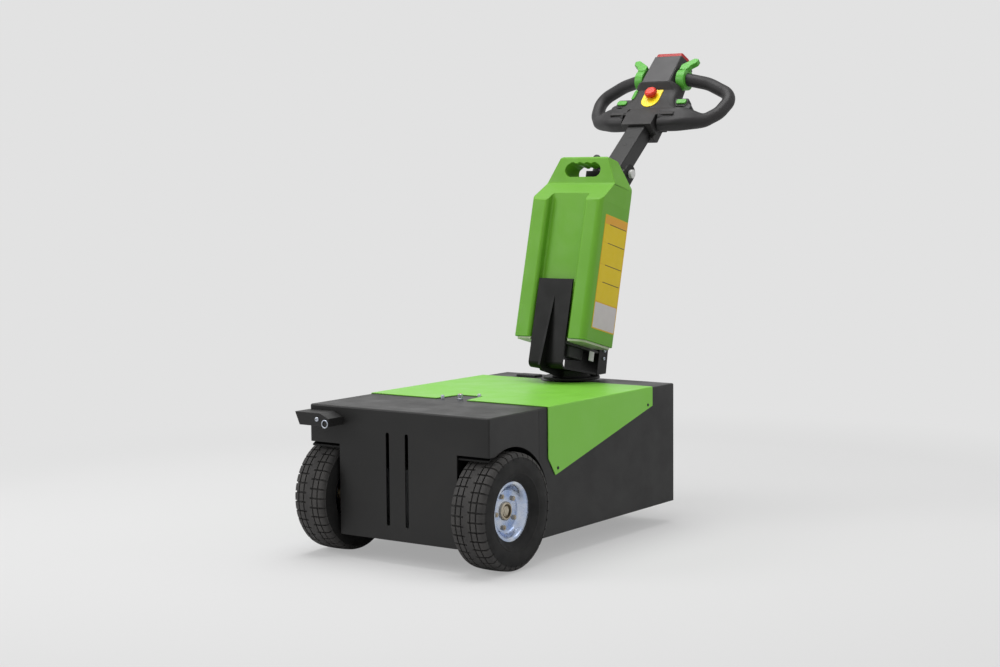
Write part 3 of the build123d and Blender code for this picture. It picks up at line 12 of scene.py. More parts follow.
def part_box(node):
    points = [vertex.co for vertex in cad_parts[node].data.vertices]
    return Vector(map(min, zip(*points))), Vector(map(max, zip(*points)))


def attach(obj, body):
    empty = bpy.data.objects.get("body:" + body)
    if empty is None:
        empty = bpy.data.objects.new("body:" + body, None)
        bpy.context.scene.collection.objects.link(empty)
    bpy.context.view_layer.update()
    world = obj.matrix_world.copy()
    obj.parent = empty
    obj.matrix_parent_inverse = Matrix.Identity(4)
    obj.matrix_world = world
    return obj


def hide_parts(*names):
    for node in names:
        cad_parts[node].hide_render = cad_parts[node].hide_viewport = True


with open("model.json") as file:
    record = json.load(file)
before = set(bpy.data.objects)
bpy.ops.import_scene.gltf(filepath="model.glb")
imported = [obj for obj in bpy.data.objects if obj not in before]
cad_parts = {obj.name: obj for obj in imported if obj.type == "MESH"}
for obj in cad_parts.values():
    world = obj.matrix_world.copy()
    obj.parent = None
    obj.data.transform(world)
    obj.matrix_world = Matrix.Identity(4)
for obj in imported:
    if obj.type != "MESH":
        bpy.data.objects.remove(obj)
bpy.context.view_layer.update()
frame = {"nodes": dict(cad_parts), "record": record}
nodes = frame["nodes"]

MM = 0.001
SIDES = (("left", -1), ("right", 1))

# Places: behind the hitch face, along the leaning pack, on the tiller tube, or on the head's panel
HITCH_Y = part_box("hitch_hood")[0].y
COVER_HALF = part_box("top_cover")[1].x / MM


def place(x, setback, z):
    """Row-frame place of a point given in mm: across, behind the hitch face, above the floor."""
    return Vector((x * MM, HITCH_Y + setback * MM, z * MM))


class Leaning:
    """Axes along a leaning part: across, along it, and out of the face that looks at the hitch end."""

    def __init__(self, setback, height, tilt):
        angle = math.radians(tilt)
        self.foot = place(0, setback, height)
        self.along = Vector((0, math.sin(angle), math.cos(angle)))
        self.outward = Vector((0, -math.cos(angle), math.sin(angle)))

    def at(self, x, along, outward):
        return self.foot + (Vector((x, 0, 0)) + self.along * along + self.outward * outward) * MM


PACK = Leaning(594.0, 457.0, 14.2)
TUBE = Leaning(900.0, 850.0, 50.0)
HEAD = Leaning(1007.0, 978.0, 43.3)


# Materials
def linear(colour):
    """Linear colour of an sRGB colour given as 0 to 255."""
    values = []
    for value in colour:
        share = value / 255
        values.append(share / 12.92 if share <= 0.04045 else ((share + 0.055) / 1.055) ** 2.4)
    return (*values, 1.0)


COAT_ROUGHNESS = 0.12


class Finish:
    """A node material with a Principled shader whose parts are added one by one."""

    def __init__(self, name, colour, roughness, metallic=0.0, coat=0.0, specular=0.5):
        self.material = bpy.data.materials.new(name)
        self.material.use_nodes = True
        self.tree = self.material.node_tree
        self.shader = self.tree.nodes["Principled BSDF"]
        self.colour = linear(colour)
        self.shader.inputs["Base Color"].default_value = self.colour
        self.shader.inputs["Roughness"].default_value = roughness
        self.shader.inputs["Metallic"].default_value = metallic
        self.shader.inputs["Coat Weight"].default_value = coat
        self.shader.inputs["Coat Roughness"].default_value = COAT_ROUGHNESS
        self.shader.inputs["Specular IOR Level"].default_value = specular
        coordinates = self.tree.nodes.new("ShaderNodeTexCoord")
        self.place = coordinates.outputs["Object"]
        self.normal = None

    def link(self, source, target):
        self.tree.links.new(source, target)

    def noise(self, scale, detail=3.0, roughness=0.55, stretch=None):
        """A noise value over the piece, its scale in features per metre."""
        node = self.tree.nodes.new("ShaderNodeTexNoise")
        node.inputs["Scale"].default_value = scale
        node.inputs["Detail"].default_value = detail
        node.inputs["Roughness"].default_value = roughness
        if stretch is None:
            self.link(self.place, node.inputs["Vector"])
        else:
            mapping = self.tree.nodes.new("ShaderNodeMapping")
            mapping.inputs["Scale"].default_value = stretch
            self.link(self.place, mapping.inputs["Vector"])
            self.link(mapping.outputs["Vector"], node.inputs["Vector"])
        return node.outputs["Fac"]

    def spread(self, value, low, high, from_low=0.3, from_high=0.7):
        """The value mapped from its usual middle band to low and high."""
        node = self.tree.nodes.new("ShaderNodeMapRange")
        node.inputs["From Min"].default_value = from_low
        node.inputs["From Max"].default_value = from_high
        node.inputs["To Min"].default_value = low
        node.inputs["To Max"].default_value = high
        self.link(value, node.inputs["Value"])
        return node.outputs["Result"]

    def vary_colour(self, value, other):
        """Mixes the base colour with another one by a value."""
        node = self.tree.nodes.new("ShaderNodeMix")
        node.data_type = "RGBA"
        node.inputs["A"].default_value = self.colour
        node.inputs["B"].default_value = linear(other)
        self.link(value, node.inputs["Factor"])
        socket = self.shader.inputs["Base Color"]
        if socket.is_linked:
            self.link(socket.links[0].from_socket, node.inputs["A"])
        self.link(node.outputs["Result"], socket)

    def vary_roughness(self, value, low, high):
        self.link(self.spread(value, low, high), self.shader.inputs["Roughness"])

    def bump(self, value, height, strength):
        """Adds a bump of a real height in metres, on top of the bumps before it."""
        node = self.tree.nodes.new("ShaderNodeBump")
        node.inputs["Distance"].default_value = height
        node.inputs["Strength"].default_value = strength
        self.link(value, node.inputs["Height"])
        if self.normal is not None:
            self.link(self.normal, node.inputs["Normal"])
        self.normal = node.outputs["Normal"]
        self.link(self.normal, self.shader.inputs["Normal"])

    def edge_wear(self, other, amount):
        """Lightens worn edges, found from the surface's pointiness."""
        geometry = self.tree.nodes.new("ShaderNodeNewGeometry")
        edges = self.spread(geometry.outputs["Pointiness"], 0.0, amount, 0.53, 0.62)
        self.vary_colour(edges, other)


SPECULAR = 0.3


def powder_coat(name, colour, dust, specular=SPECULAR):
    """Powder-coated sheet: fine orange peel, faint cloudiness and dust."""
    finish = Finish(name, colour, 0.42, specular=specular)
    finish.vary_roughness(finish.noise(14), 0.36, 0.5)
    finish.vary_colour(finish.spread(finish.noise(5, 5), 0.0, 0.35), dust)
    finish.bump(finish.noise(900, 2), 0.00012, 0.5)
    finish.bump(finish.noise(2600, 1), 0.00004, 0.5)
    finish.edge_wear(dust, 0.35)
    return finish.material


def grained_plastic(name, colour, other, roughness, grain, height):
    """Moulded plastic with a pebbled grain, a little worn smooth in places."""
    finish = Finish(name, colour, roughness, specular=SPECULAR)
    finish.vary_roughness(finish.noise(22), roughness - 0.06, roughness + 0.08)
    finish.vary_colour(finish.spread(finish.noise(9, 4), 0.0, 0.4), other)
    finish.bump(finish.noise(grain, 2, 0.6), height, 0.6)
    finish.bump(finish.noise(60, 2), 0.0003, 0.12)
    return finish.material


def tyre_rubber(name, colour, dust):
    """Tyre rubber: dull, a little dusty, scuffed along its edges."""
    finish = Finish(name, colour, 0.68, specular=0.25)
    finish.vary_roughness(finish.noise(35), 0.58, 0.8)
    finish.vary_colour(finish.spread(finish.noise(28, 6), 0.0, 0.5), dust)
    finish.bump(finish.noise(1400, 2), 0.00012, 0.5)
    finish.edge_wear((96, 94, 92), 0.45)
    return finish.material


def zinc(name, colour, tint, roughness):
    """Bright zinc plate: cloudy tint, fine scratches."""
    finish = Finish(name, colour, roughness, metallic=1.0)
    finish.vary_colour(finish.spread(finish.noise(26, 4), 0.0, 0.85), tint)
    finish.vary_roughness(finish.noise(60, 4), roughness - 0.08, roughness + 0.14)
    finish.bump(finish.noise(500, 3, stretch=(1, 1, 6)), 0.00005, 0.35)
    return finish.material


def plain_gloss(name, colour, other, roughness):
    """Smooth moulded plastic with faint flow marks."""
    finish = Finish(name, colour, roughness, coat=0.12, specular=SPECULAR)
    finish.vary_colour(finish.spread(finish.noise(40, 3), 0.0, 0.35), other)
    finish.vary_roughness(finish.noise(80), roughness - 0.05, roughness + 0.08)
    finish.bump(finish.noise(700, 2), 0.00005, 0.3)
    return finish.material


# name, colour, dust, specular level where it isn't the usual one
POWDER_COATS = (
    ("body_black", (27, 27, 27), (46, 45, 44)),
    ("frame_black", (11, 11, 11), (24, 23, 23), 0.18),
    ("shell_black", (18, 18, 18), (34, 33, 33)),
    ("cover_green", (120, 192, 59), (130, 198, 76), 0.4),
    ("drive_grey", (92, 94, 96), (70, 68, 64)),
)
# name, colour, other colour, roughness, grains per metre, height of a grain in metres
GRAINED_PLASTICS = (
    ("display_dark", (64, 63, 64), (70, 69, 70), 0.4, 1700, 0.00005),
    ("castor_rubber", (58, 58, 60), (78, 76, 74), 0.6, 1200, 0.0001),
    ("dark_plastic", (38, 38, 40), (50, 49, 49), 0.5, 1500, 0.00008),
    ("case_green", (103, 162, 44), (94, 152, 39), 0.44, 1000, 0.00012),
    ("head_plastic", (43, 42, 42), (51, 49, 49), 0.55, 1700, 0.0001),
    ("grip_plastic", (38, 37, 38), (48, 46, 47), 0.52, 1500, 0.00012),
)
# name, colour, other colour, roughness
GLOSSY_PLASTICS = (
    ("label_border", (212, 166, 14), (204, 158, 12), 0.5),
    ("label_yellow", (216, 188, 4), (206, 178, 4), 0.5),
    ("label_orange", (214, 158, 44), (206, 150, 40), 0.5),
    ("label_pale", (196, 190, 190), (184, 178, 178), 0.4),
    # painted shadow: the colour of the dark lines along the label's joins
    ("label_edge_shadow", (70, 50, 14), (60, 44, 12), 0.45),
    ("belly_red", (160, 26, 24), (148, 22, 20), 0.35),
    ("knob_grey", (205, 205, 203), (188, 188, 186), 0.35),
    ("foot_grey", (186, 190, 168), (172, 176, 152), 0.45),
    ("button_green", (84, 164, 56), (76, 152, 50), 0.35),
    ("stop_red", (206, 44, 16), (192, 38, 14), 0.3),
    ("stop_yellow", (244, 216, 34), (236, 204, 26), 0.35),
)
# name, colour, tint, roughness
ZINC_PLATES = (
    ("rim_zinc", (206, 210, 216), (118, 148, 200), 0.22),
    ("hub_brass", (186, 178, 162), (150, 138, 118), 0.34),
    ("fork_zinc", (190, 192, 194), (160, 168, 184), 0.34),
)
# name, colour, dust
RUBBERS = (
    ("tyre_rubber", (56, 55, 55), (78, 76, 74)),
    ("tyre_wall", (26, 26, 26), (38, 37, 36)),
)
RECIPES = (
    (powder_coat, POWDER_COATS), (grained_plastic, GRAINED_PLASTICS), (plain_gloss, GLOSSY_PLASTICS),
    (zinc, ZINC_PLATES), (tyre_rubber, RUBBERS),
)
MATERIALS = {}
for recipe, table in RECIPES:
    for row in table:
        MATERIALS[row[0]] = recipe(*row)

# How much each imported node's edges are rounded, in mm: the cradle's stay as packed
EDGE_ROUNDING = {
    "chassis_frame": 0.5, "hitch_hood": 0.6, "rear_shell": 0.6, "top_cover": 0.5, "drive_unit": 2.0,
    "steering_head": 0.6, "release_handle": 0.6, "socket_cover": 0.6, "turntable": 0.6, "castor_fork": 0.8,
    "castor_axle": 0.5, "castor_rim": 0.5, "castor_tyre": 1.0, "battery_seat": 0.8, "post": 0.7,
    "pivot_bolt": 0.5, "tilt_knob": 0.4, "latch_knob": 0.4, "tiller_tube": 0.6, "head_upper": 1.6,
    "head_lower": 2.0, "battery_case": 1.2, "battery_foot": 0.8, "drive_rim_left": 0.5,
    "drive_rim_right": 0.5, "drive_hub_left": 0.4, "drive_hub_right": 0.4, "side_button_left": 0.6,
    "side_button_right": 0.6, "belly_button": 0.5, "stop_plate": 0.3, "stop_button": 0.5,
    "grip_left": 0.6, "grip_right": 0.6, "throttle_left": 2.0, "throttle_right": 2.0,
}
ROUNDING_STEPS = 3
SHARP_ANGLE = math.radians(34)
FLAT_ANGLE = math.radians(0.4)
JOIN_DISTANCE = 0.002


def round_edges(obj, width):
    """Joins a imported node's faces, rounds its sharp edges and shades it smooth."""
    for polygon in obj.data.polygons:
        polygon.use_smooth = True
    weld = obj.modifiers.new("join faces", "WELD")
    weld.merge_threshold = JOIN_DISTANCE * MM
    flat = obj.modifiers.new("clear flats", "DECIMATE")
    flat.decimate_type = "DISSOLVE"
    flat.angle_limit = FLAT_ANGLE
    bevel = obj.modifiers.new("round edges", "BEVEL")
    bevel.width = width * MM
    bevel.segments = ROUNDING_STEPS
    bevel.limit_method = "ANGLE"
    bevel.angle_limit = SHARP_ANGLE
    bevel.use_clamp_overlap = False
    shading = obj.modifiers.new("even shading", "WEIGHTED_NORMAL")
    shading.keep_sharp = False
    shading.weight = 100


# Nodes whose finish differs from their slot's usual one
OWN_FINISH = {
    "turntable": "frame_black", "cradle": "frame_black", "post": "frame_black", "rear_shell": "shell_black",
    "belly_button": "belly_red",
}
for part in frame["record"]["subparts"]:
    node = nodes[part["node"]]
    node.data.materials.clear()
    node.data.materials.append(MATERIALS[OWN_FINISH.get(part["node"], part["material_slot"])])
    if part["node"] in EDGE_ROUNDING:
        round_edges(node, EDGE_ROUNDING[part["node"]])


# Mesh pieces
def add_piece(name, mesh, slot, body, look=None, sharp=SHARP_ANGLE):
    """Puts a mesh in the scene with its material, riding on a body."""
    for polygon in mesh.polygons:
        polygon.use_smooth = True
    mesh.set_sharp_from_angle(angle=sharp)
    obj = bpy.data.objects.new(name, mesh)
    bpy.context.scene.collection.objects.link(obj)
    mesh.materials.append(MATERIALS[look or slot])
    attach(obj, body)
    return obj


def mesh_of(name, points, faces):
    """A closed mesh with its faces turned outwards."""
    mesh = bpy.data.meshes.new(name)
    mesh.from_pydata(points, [], faces)
    tool = bmesh.new()
    tool.from_mesh(mesh)
    bmesh.ops.recalc_face_normals(tool, faces=tool.faces)
    tool.to_mesh(mesh)
    tool.free()
    return mesh


def stacked_rings(name, rings):
    """A closed mesh through rings that all have the same number of points."""
    count = len(rings[0])
    points = [point for ring in rings for point in ring]
    faces = []
    for row in range(len(rings) - 1):
        for step in range(count):
            after = (step + 1) % count
            low, high = row * count, (row + 1) * count
            faces.append((low + step, low + after, high + after, high + step))
    faces.append(tuple(range(count)))
    faces.append(tuple((len(rings) - 1) * count + step for step in range(count)))
    return mesh_of(name, points, faces)


TURN_STEPS = 48


def turned(name, profile, centre, axis, slot, body, flats=()):
    """A turned piece: profile is (radius, height) in mm, and the rows named in flats are hexagonal."""
    axis = Vector(axis).normalized()
    side = axis.orthogonal().normalized()
    other = axis.cross(side)
    rings = []
    for row, (radius, height) in enumerate(profile):
        ring = []
        for step in range(TURN_STEPS):
            angle = math.tau * step / TURN_STEPS
            reach = radius
            if row in flats:
                reach *= math.cos(math.pi / 6) / math.cos(angle % (math.pi / 3) - math.pi / 6)
            spoke = side * math.cos(angle) + other * math.sin(angle)
            ring.append(centre + (axis * height + spoke * reach) * MM)
        rings.append(ring)
    return add_piece(name, stacked_rings(name, rings), slot, body)


def rounded_ring(centre, across, along, width, depth, corner, corner_points):
    """Points round a rectangle with rounded corners, its sizes in mm."""
    ring = []
    for x_side, y_side, start in ((1, 1, 0), (-1, 1, 90), (-1, -1, 180), (1, -1, 270)):
        for step in range(corner_points):
            angle = math.radians(start + step * 90 / (corner_points - 1))
            x = x_side * (width / 2 - corner) + corner * math.cos(angle)
            y = y_side * (depth / 2 - corner) + corner * math.sin(angle)
            ring.append(centre + (across * x + along * y) * MM)
    return ring


PLATE_CORNER_POINTS = 7
PLATE_SINK = 0.2
PLATE_EDGE = 0.4
PLATE_EDGE_SHARE = 0.4


def plate(name, centre, across, along, size, corner, thickness, slot, body, look=None):
    """A thin plate with rounded corners and a softened front edge, its sizes in mm."""
    across, along = Vector(across).normalized(), Vector(along).normalized()
    outward = across.cross(along)
    width, depth = size
    edge = min(thickness * PLATE_EDGE_SHARE, PLATE_EDGE)
    rings = []
    for inset, height in ((0, -PLATE_SINK), (0, thickness - edge), (edge, thickness)):
        middle = centre + outward * height * MM
        sizes = (width - 2 * inset, depth - 2 * inset, corner - inset)
        rings.append(rounded_ring(middle, across, along, *sizes, PLATE_CORNER_POINTS))
    return add_piece(name, stacked_rings(name, rings), slot, body, look)


def ring_faces(rows, columns):
    """Faces of a closed grid whose rows and columns both wrap round."""
    faces = []
    for row in range(rows):
        low, high = row * columns, (row + 1) % rows * columns
        for column in range(columns):
            after = (column + 1) % columns
            faces.append((low + column, low + after, high + after, high + column))
    return faces


# Drive tyres: a pneumatic tyre with four columns of blocks and a notched band in the middle
TREAD_PITCHES = 38
TREAD_RADIUS = 130.0
TREAD_DEPTH = 5.0
TREAD_SHARP_ANGLE = math.radians(50)
# shares of a pitch: middles of the outer and the inner cut, and stations between two cuts
OUTER_CUT = 0.25
INNER_CUT = 0.75
BETWEEN_CUTS = (0.12, 0.38)
CUT_WIDTH = 4.4
CUT_SLOPE = 0.5
CUT_END = 5.0
CUT_RAMP = 3.5
CUT_FADE_RADIUS = 113.0
SHOULDER_CUT_SHARE = 0.5
SHOULDER_RADIUS = 121.5
WALL_TOP = 119.0
GROOVES = ((10.6, 14.0), (25.0, 28.4))
GROOVE_SLOPE = 0.4
# across the tread and down the sidewall: distance from the tyre's middle, radius
TREAD_LINE = (
    (0, TREAD_RADIUS), (3, TREAD_RADIUS), (CUT_END, 129.98), (CUT_END + CUT_RAMP, 129.95), (10.6, 129.9),
    (14.0, 129.85), (19, 129.7), (25.0, 129.3), (28.4, 129.1), (34, 128.4), (38, 127.2), (40.6, 125.2),
    (41.8, 123), (42.2, SHOULDER_RADIUS),
)
WALL_LINE = (
    (42.7, 119.4), (43.6, 118.9), (43.6, 118.0), (43.1, 117.5), (43.9, CUT_FADE_RADIUS), (44.8, 107),
    (45, 100), (44.7, 93), (43.9, 87.5), (43.2, 85), (43.6, 84.4), (43.2, 83.6), (41.9, 82.6), (39.6, 78.5),
    (36.2, 74.5), (33, 71.6), (30.6, 69.6), (29.4, 68.2), (28.4, 66.4), (27.4, 63), (25.4, 59),
)


def tread_stations():
    """Half of the tyre's outline with stations at the grooves' edges: distance, radius, is it tread."""
    line = []
    for (x0, r0), (_, r1) in zip(TREAD_LINE, TREAD_LINE[1:]):
        line.append((x0, r0, True))
        for low, high in GROOVES:
            if x0 == low:
                line.append((low + GROOVE_SLOPE, r0, True))
                line.append((high - GROOVE_SLOPE, r1, True))
    line.append((*TREAD_LINE[-1], True))
    line.extend((x, r, False) for x, r in WALL_LINE)
    return line


def groove_depth(distance):
    """Depth of the grooves that run round the tyre, at a distance from its middle."""
    for low, high in GROOVES:
        if low + GROOVE_SLOPE / 2 < distance < high - GROOVE_SLOPE / 2:
            return TREAD_DEPTH
    return 0.0


def cut_depth(distance, radius, into_cut):
    """Depth of the cross cuts at a distance from the middle, where into_cut is true on a cut's floor."""
    if not into_cut or distance < CUT_END:
        return 0.0
    if radius < SHOULDER_RADIUS:
        fade = (radius - CUT_FADE_RADIUS) / (SHOULDER_RADIUS - CUT_FADE_RADIUS)
        return TREAD_DEPTH * SHOULDER_CUT_SHARE * max(0.0, fade)
    return TREAD_DEPTH * min(1.0, (distance - CUT_END) / CUT_RAMP)


def tyre_angles():
    """Stations round the tyre: angle, is it on an outer cut's floor, is it on an inner cut's floor."""
    pitch = math.tau / TREAD_PITCHES
    half_cut = CUT_WIDTH / 2 / TREAD_RADIUS
    slope = CUT_SLOPE / TREAD_RADIUS
    local = []
    for middle, outer in ((OUTER_CUT * pitch, True), (INNER_CUT * pitch, False)):
        for offset, floor in (
            (-half_cut, False), (-half_cut + slope, True), (half_cut - slope, True), (half_cut, False)
        ):
            local.append((middle + offset, floor and outer, floor and not outer))
        for share in BETWEEN_CUTS:
            local.append((middle + share * pitch, False, False))
    return [(n * pitch + a, o, i) for n in range(TREAD_PITCHES) for a, o, i in local]


def drive_tyre(side_name, side):
    """The finer tyre of one side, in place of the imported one: a cut tread and a darker sidewall."""
    low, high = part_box(f"drive_tyre_{side_name}")
    centre = (low + high) / 2
    half = tread_stations()
    outline = [(-x, r, t, False) for x, r, t in reversed(half)]
    outline += [(x, r, t, True) for x, r, t in half[1:]]
    angles = tyre_angles()
    points = []
    for x, radius, is_tread, outer_side in outline:
        for angle, outer_cut, inner_cut in angles:
            drop = cut_depth(abs(x), radius, outer_cut if outer_side else inner_cut)
            across, reach = x, radius
            if is_tread:
                reach -= max(drop, groove_depth(abs(x)))
            else:
                across -= math.copysign(drop, x)
            offset = Vector((side * across, reach * math.cos(angle), reach * math.sin(angle)))
            points.append(centre + offset * MM)
    name = f"treaded_tyre_{side_name}"
    mesh = mesh_of(name, points, ring_faces(len(outline), len(angles)))
    tyre = add_piece(name, mesh, "tyre_rubber", f"drive_wheel_{side_name}", sharp=TREAD_SHARP_ANGLE)
    tyre.data.materials.append(MATERIALS["tyre_wall"])
    for polygon in tyre.data.polygons:
        offset = polygon.center - centre
        if math.hypot(offset.y, offset.z) < WALL_TOP * MM:
            polygon.material_index = 1
    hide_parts(f"drive_tyre_{side_name}")


for side_name, side in SIDES:
    drive_tyre(side_name, side)


# Bolts, screws and studs: profiles as shares of the head's radius, with their hexagonal rows
BUTTON_HEAD = (
    (1.0, -0.1), (1.0, 0.24), (0.94, 0.42), (0.76, 0.58), (0.52, 0.66), (0.47, 0.63), (0.45, 0.26),
)
BUTTON_FLATS = (5, 6)
PAN_HEAD = ((1.0, -0.1), (1.0, 0.2), (0.9, 0.38), (0.6, 0.5), (0.24, 0.52), (0.18, 0.3))


def fastener(name, profile, radius, centre, axis, slot, body, flats=()):
    """A bolt or screw head of a radius, standing on its place along an axis."""
    turned(name, [(r * radius, h * radius) for r, h in profile], centre, axis, slot, body, flats)


POST_HALF = 50.0
# button heads in the post's foot: name, radius, setback, height above the floor
POST_BOLTS = (("upper", 5.0, 774, 411), ("lower", 4.4, 770, 391))
# screws that hold the cover's flaps: name, setback, height above the floor
COVER_SCREWS = (("front", 258, 202), ("rear", 647, 301))
COVER_SCREW_RADIUS = 3.6
for side_name, side in SIDES:
    for name, radius, setback, height in POST_BOLTS:
        fastener(
            f"post_bolt_{name}_{side_name}", BUTTON_HEAD, radius, place(side * POST_HALF, setback, height),
            (side, 0, 0), "fork_zinc", "steering", BUTTON_FLATS,
        )
    for name, setback, height in COVER_SCREWS:
        fastener(
            f"cover_screw_{name}_{side_name}", PAN_HEAD, COVER_SCREW_RADIUS,
            place(side * COVER_HALF, setback, height), (side, 0, 0), "dark_plastic", "chassis",
        )

HANDLE_BOLT = place(-185, -50, 315)
HANDLE_BOLT_RADIUS = 5.4
fastener(
    "handle_bolt", BUTTON_HEAD, HANDLE_BOLT_RADIUS, HANDLE_BOLT, (0, -1, 0), "fork_zinc", "chassis",
    BUTTON_FLATS,
)

# Ring on the release handle's front face
RING_PLACE = place(-162, -51.4, 306)
RING_FACING = (0, -1, 0)
RING_RADIUS = 8.2
RING_WIRE = 1.5
RING_STEPS = 40
WIRE_STEPS = 12


def wire_ring(name, centre, facing, radius, wire, slot, body):
    """A closed ring of round wire whose opening faces a direction."""
    facing = Vector(facing).normalized()
    side = facing.orthogonal().normalized()
    other = facing.cross(side)
    points = []
    for row in range(RING_STEPS):
        angle = math.tau * row / RING_STEPS
        spoke = side * math.cos(angle) + other * math.sin(angle)
        for column in range(WIRE_STEPS):
            turn = math.tau * column / WIRE_STEPS
            offset = spoke * (radius + wire * math.cos(turn)) + facing * (wire * math.sin(turn))
            points.append(centre + offset * MM)
    add_piece(name, mesh_of(name, points, ring_faces(RING_STEPS, WIRE_STEPS)), slot, body)


wire_ring("handle_ring", RING_PLACE, RING_FACING, RING_RADIUS, RING_WIRE, "fork_zinc", "chassis")

# Lock and studs in the cover's notch
HOOD_TOP = 341.0
STUD = ((4.2, -1), (4.2, 6.6), (3.8, 7.6), (2.4, 8.4), (0.8, 8.7))
LOCK_BODY = ((7.0, -1), (7.0, 2.0), (6.2, 2.6), (6.2, 11.4), (5.4, 12.4), (3.6, 12.6), (3.4, 11.6))
LOCK_CORE = ((3.4, 11), (3.4, 12.2), (2.8, 12.8), (0.9, 13.0))
UPWARD = (0, 0, 1)
# name, x, setback
NOTCH_STUDS = (("left", -47, 230), ("back", 12, 292))
for name, x, setback in NOTCH_STUDS:
    turned(f"notch_stud_{name}", STUD, place(x, setback, HOOD_TOP), UPWARD, "fork_zinc", "chassis")
LOCK_PLACE = place(-4, 240, HOOD_TOP)
turned("notch_lock", LOCK_BODY, LOCK_PLACE, UPWARD, "fork_zinc", "chassis")
turned("notch_lock_core", LOCK_CORE, LOCK_PLACE, UPWARD, "stop_red", "chassis")

# Blank label on the pack's right side: border, five panels, a pale plate and four dark lines of painted
# shadow along the joins where the panels' edges lift
PACK_HALF = 104.5
LABEL_BACK = 79.0
LABEL_CORNER = 1.0
LABEL_WARM_LOOKS = ("label_border", "label_yellow", "label_orange")
# name, back from the pack's front, up the pack, width, height, thickness, look
LABEL_PANELS = (
    ("border", LABEL_BACK, 173.0, 105.0, 282.0, 0.3, "label_border"),
    ("panel_1", LABEL_BACK, 301.5, 99.0, 19.0, 0.5, "label_orange"),
    ("panel_2", LABEL_BACK, 268.5, 99.0, 45.0, 0.5, "label_yellow"),
    ("panel_3", LABEL_BACK, 218.5, 99.0, 53.0, 0.5, "label_yellow"),
    ("panel_4", LABEL_BACK, 170.0, 99.0, 42.0, 0.5, "label_yellow"),
    ("panel_5", LABEL_BACK, 124.0, 99.0, 48.0, 0.5, "label_yellow"),
    ("plate", LABEL_BACK, 66.0, 99.0, 62.0, 0.5, "label_pale"),
    # the four lines are painted shadow: dark strips along the joins where the panels' edges lift
    ("shadow_line_1", 89.0, 291.8, 77.0, 2.2, 0.6, "label_edge_shadow"),
    ("shadow_line_2", 89.0, 245.8, 77.0, 2.2, 0.6, "label_edge_shadow"),
    ("shadow_line_3", 89.0, 191.5, 77.0, 2.2, 0.6, "label_edge_shadow"),
    ("shadow_line_4", 87.0, 148.8, 77.0, 2.2, 0.6, "label_edge_shadow"),
)
for name, back, up, width, height, thickness, look in LABEL_PANELS:
    slot = "stop_yellow" if look in LABEL_WARM_LOOKS else "knob_grey"
    plate(
        f"label_{name}", PACK.at(PACK_HALF, up, -back), -PACK.outward, PACK.along, (width, height),
        LABEL_CORNER, thickness, slot, "battery", look,
    )

# Small pale bracket under the pack's seat
BRACKET_PLACE = PACK.at(47.6, -24, -132)
BRACKET_SIZE = (22, 24)
BRACKET_CORNER = 1.5
BRACKET_THICKNESS = 1.0
plate(
    "seat_bracket", BRACKET_PLACE, -PACK.outward, PACK.along, BRACKET_SIZE, BRACKET_CORNER,
    BRACKET_THICKNESS, "knob_grey", "steering",
)

# Display plate on the head's stem: distance up the head and height out of the panel, at its two ends
DISPLAY_FOOT = (151.0, 3.0)
DISPLAY_END = (247.0, 1.05)
DISPLAY_WIDTH = 79
DISPLAY_MARGIN = 1
DISPLAY_CORNER = 4.0
DISPLAY_THICKNESS = 0.9
display_foot, display_end = HEAD.at(0, *DISPLAY_FOOT), HEAD.at(0, *DISPLAY_END)
display_run = display_end - display_foot
display_size = (DISPLAY_WIDTH, display_run.length / MM - DISPLAY_MARGIN)
plate(
    "display_panel", (display_foot + display_end) / 2, (1, 0, 0), display_run, display_size,
    DISPLAY_CORNER, DISPLAY_THICKNESS, "head_plastic", "tiller", "display_dark",
)

# The loop's lower ends, which thicken from a round grip into flat bars at the neck
LOOP_ROOT_X = 45.0
LOOP_ROOT_OUT = -16.0
LOOP_DROOP = math.radians(18)
# reach from the root, distance up the head, direction of the run in degrees, width, depth, corner, lift
BAR_STATIONS = (
    (127.6, 69.0, -128.0, 34.2, 34.2, 17.1, 0), (125.0, 65.8, -131.5, 34.8, 34.6, 17.2, 0.1),
    (120.8, 62.2, -137.5, 36.4, 35.2, 17.4, 0.3), (115.0, 59.2, -145.5, 38.9, 36.4, 17.6, 0.6),
    (108.0, 56.8, -154.0, 41.8, 38.0, 17.8, 1.1), (100.8, 54.9, -161.5, 44.8, 39.8, 17.8, 1.7),
    (92.0, 52.8, -167.5, 48.2, 41.4, 17.4, 2.5), (83.0, 50.8, -171.4, 51.8, 42.8, 16.8, 3.2),
    (73.0, 48.6, -171.4, 55.4, 43.6, 15.8, 3.8), (62.0, 45.8, -171.4, 58.2, 44.2, 14.4, 4.2),
    (50.0, 43.0, -171.4, 59.6, 44.0, 13.0, 4.0), (38.0, 40.8, -171.4, 59.6, 42.4, 13.0, 1.6),
    (20.0, 38.8, -171.4, 58.0, 41.0, 13.0, -3.0), (2.0, 38.0, -171.4, 58.0, 40.0, 13.0, -8.0),
)
BAR_CORNER_POINTS = 9
for side_name, side in SIDES:
    reach_out = Vector((side * math.cos(LOOP_DROOP), 0, 0)) - HEAD.outward * math.sin(LOOP_DROOP)
    normal = reach_out.cross(HEAD.along)
    root = HEAD.at(side * LOOP_ROOT_X, 0, LOOP_ROOT_OUT)
    rings = []
    for reach, up, direction, width, depth, corner, lift in BAR_STATIONS:
        angle = math.radians(direction)
        across = HEAD.along * math.cos(angle) - reach_out * math.sin(angle)
        centre = root + (reach_out * reach + HEAD.along * up + normal * side * lift) * MM
        rings.append(rounded_ring(centre, across, normal, width, depth, corner, BAR_CORNER_POINTS))
    name = f"loop_bar_{side_name}"
    add_piece(name, stacked_rings(name, rings), "grip_plastic", "tiller")

# Flanks of the head between its wings and its display
FLANK_STEPS = 9
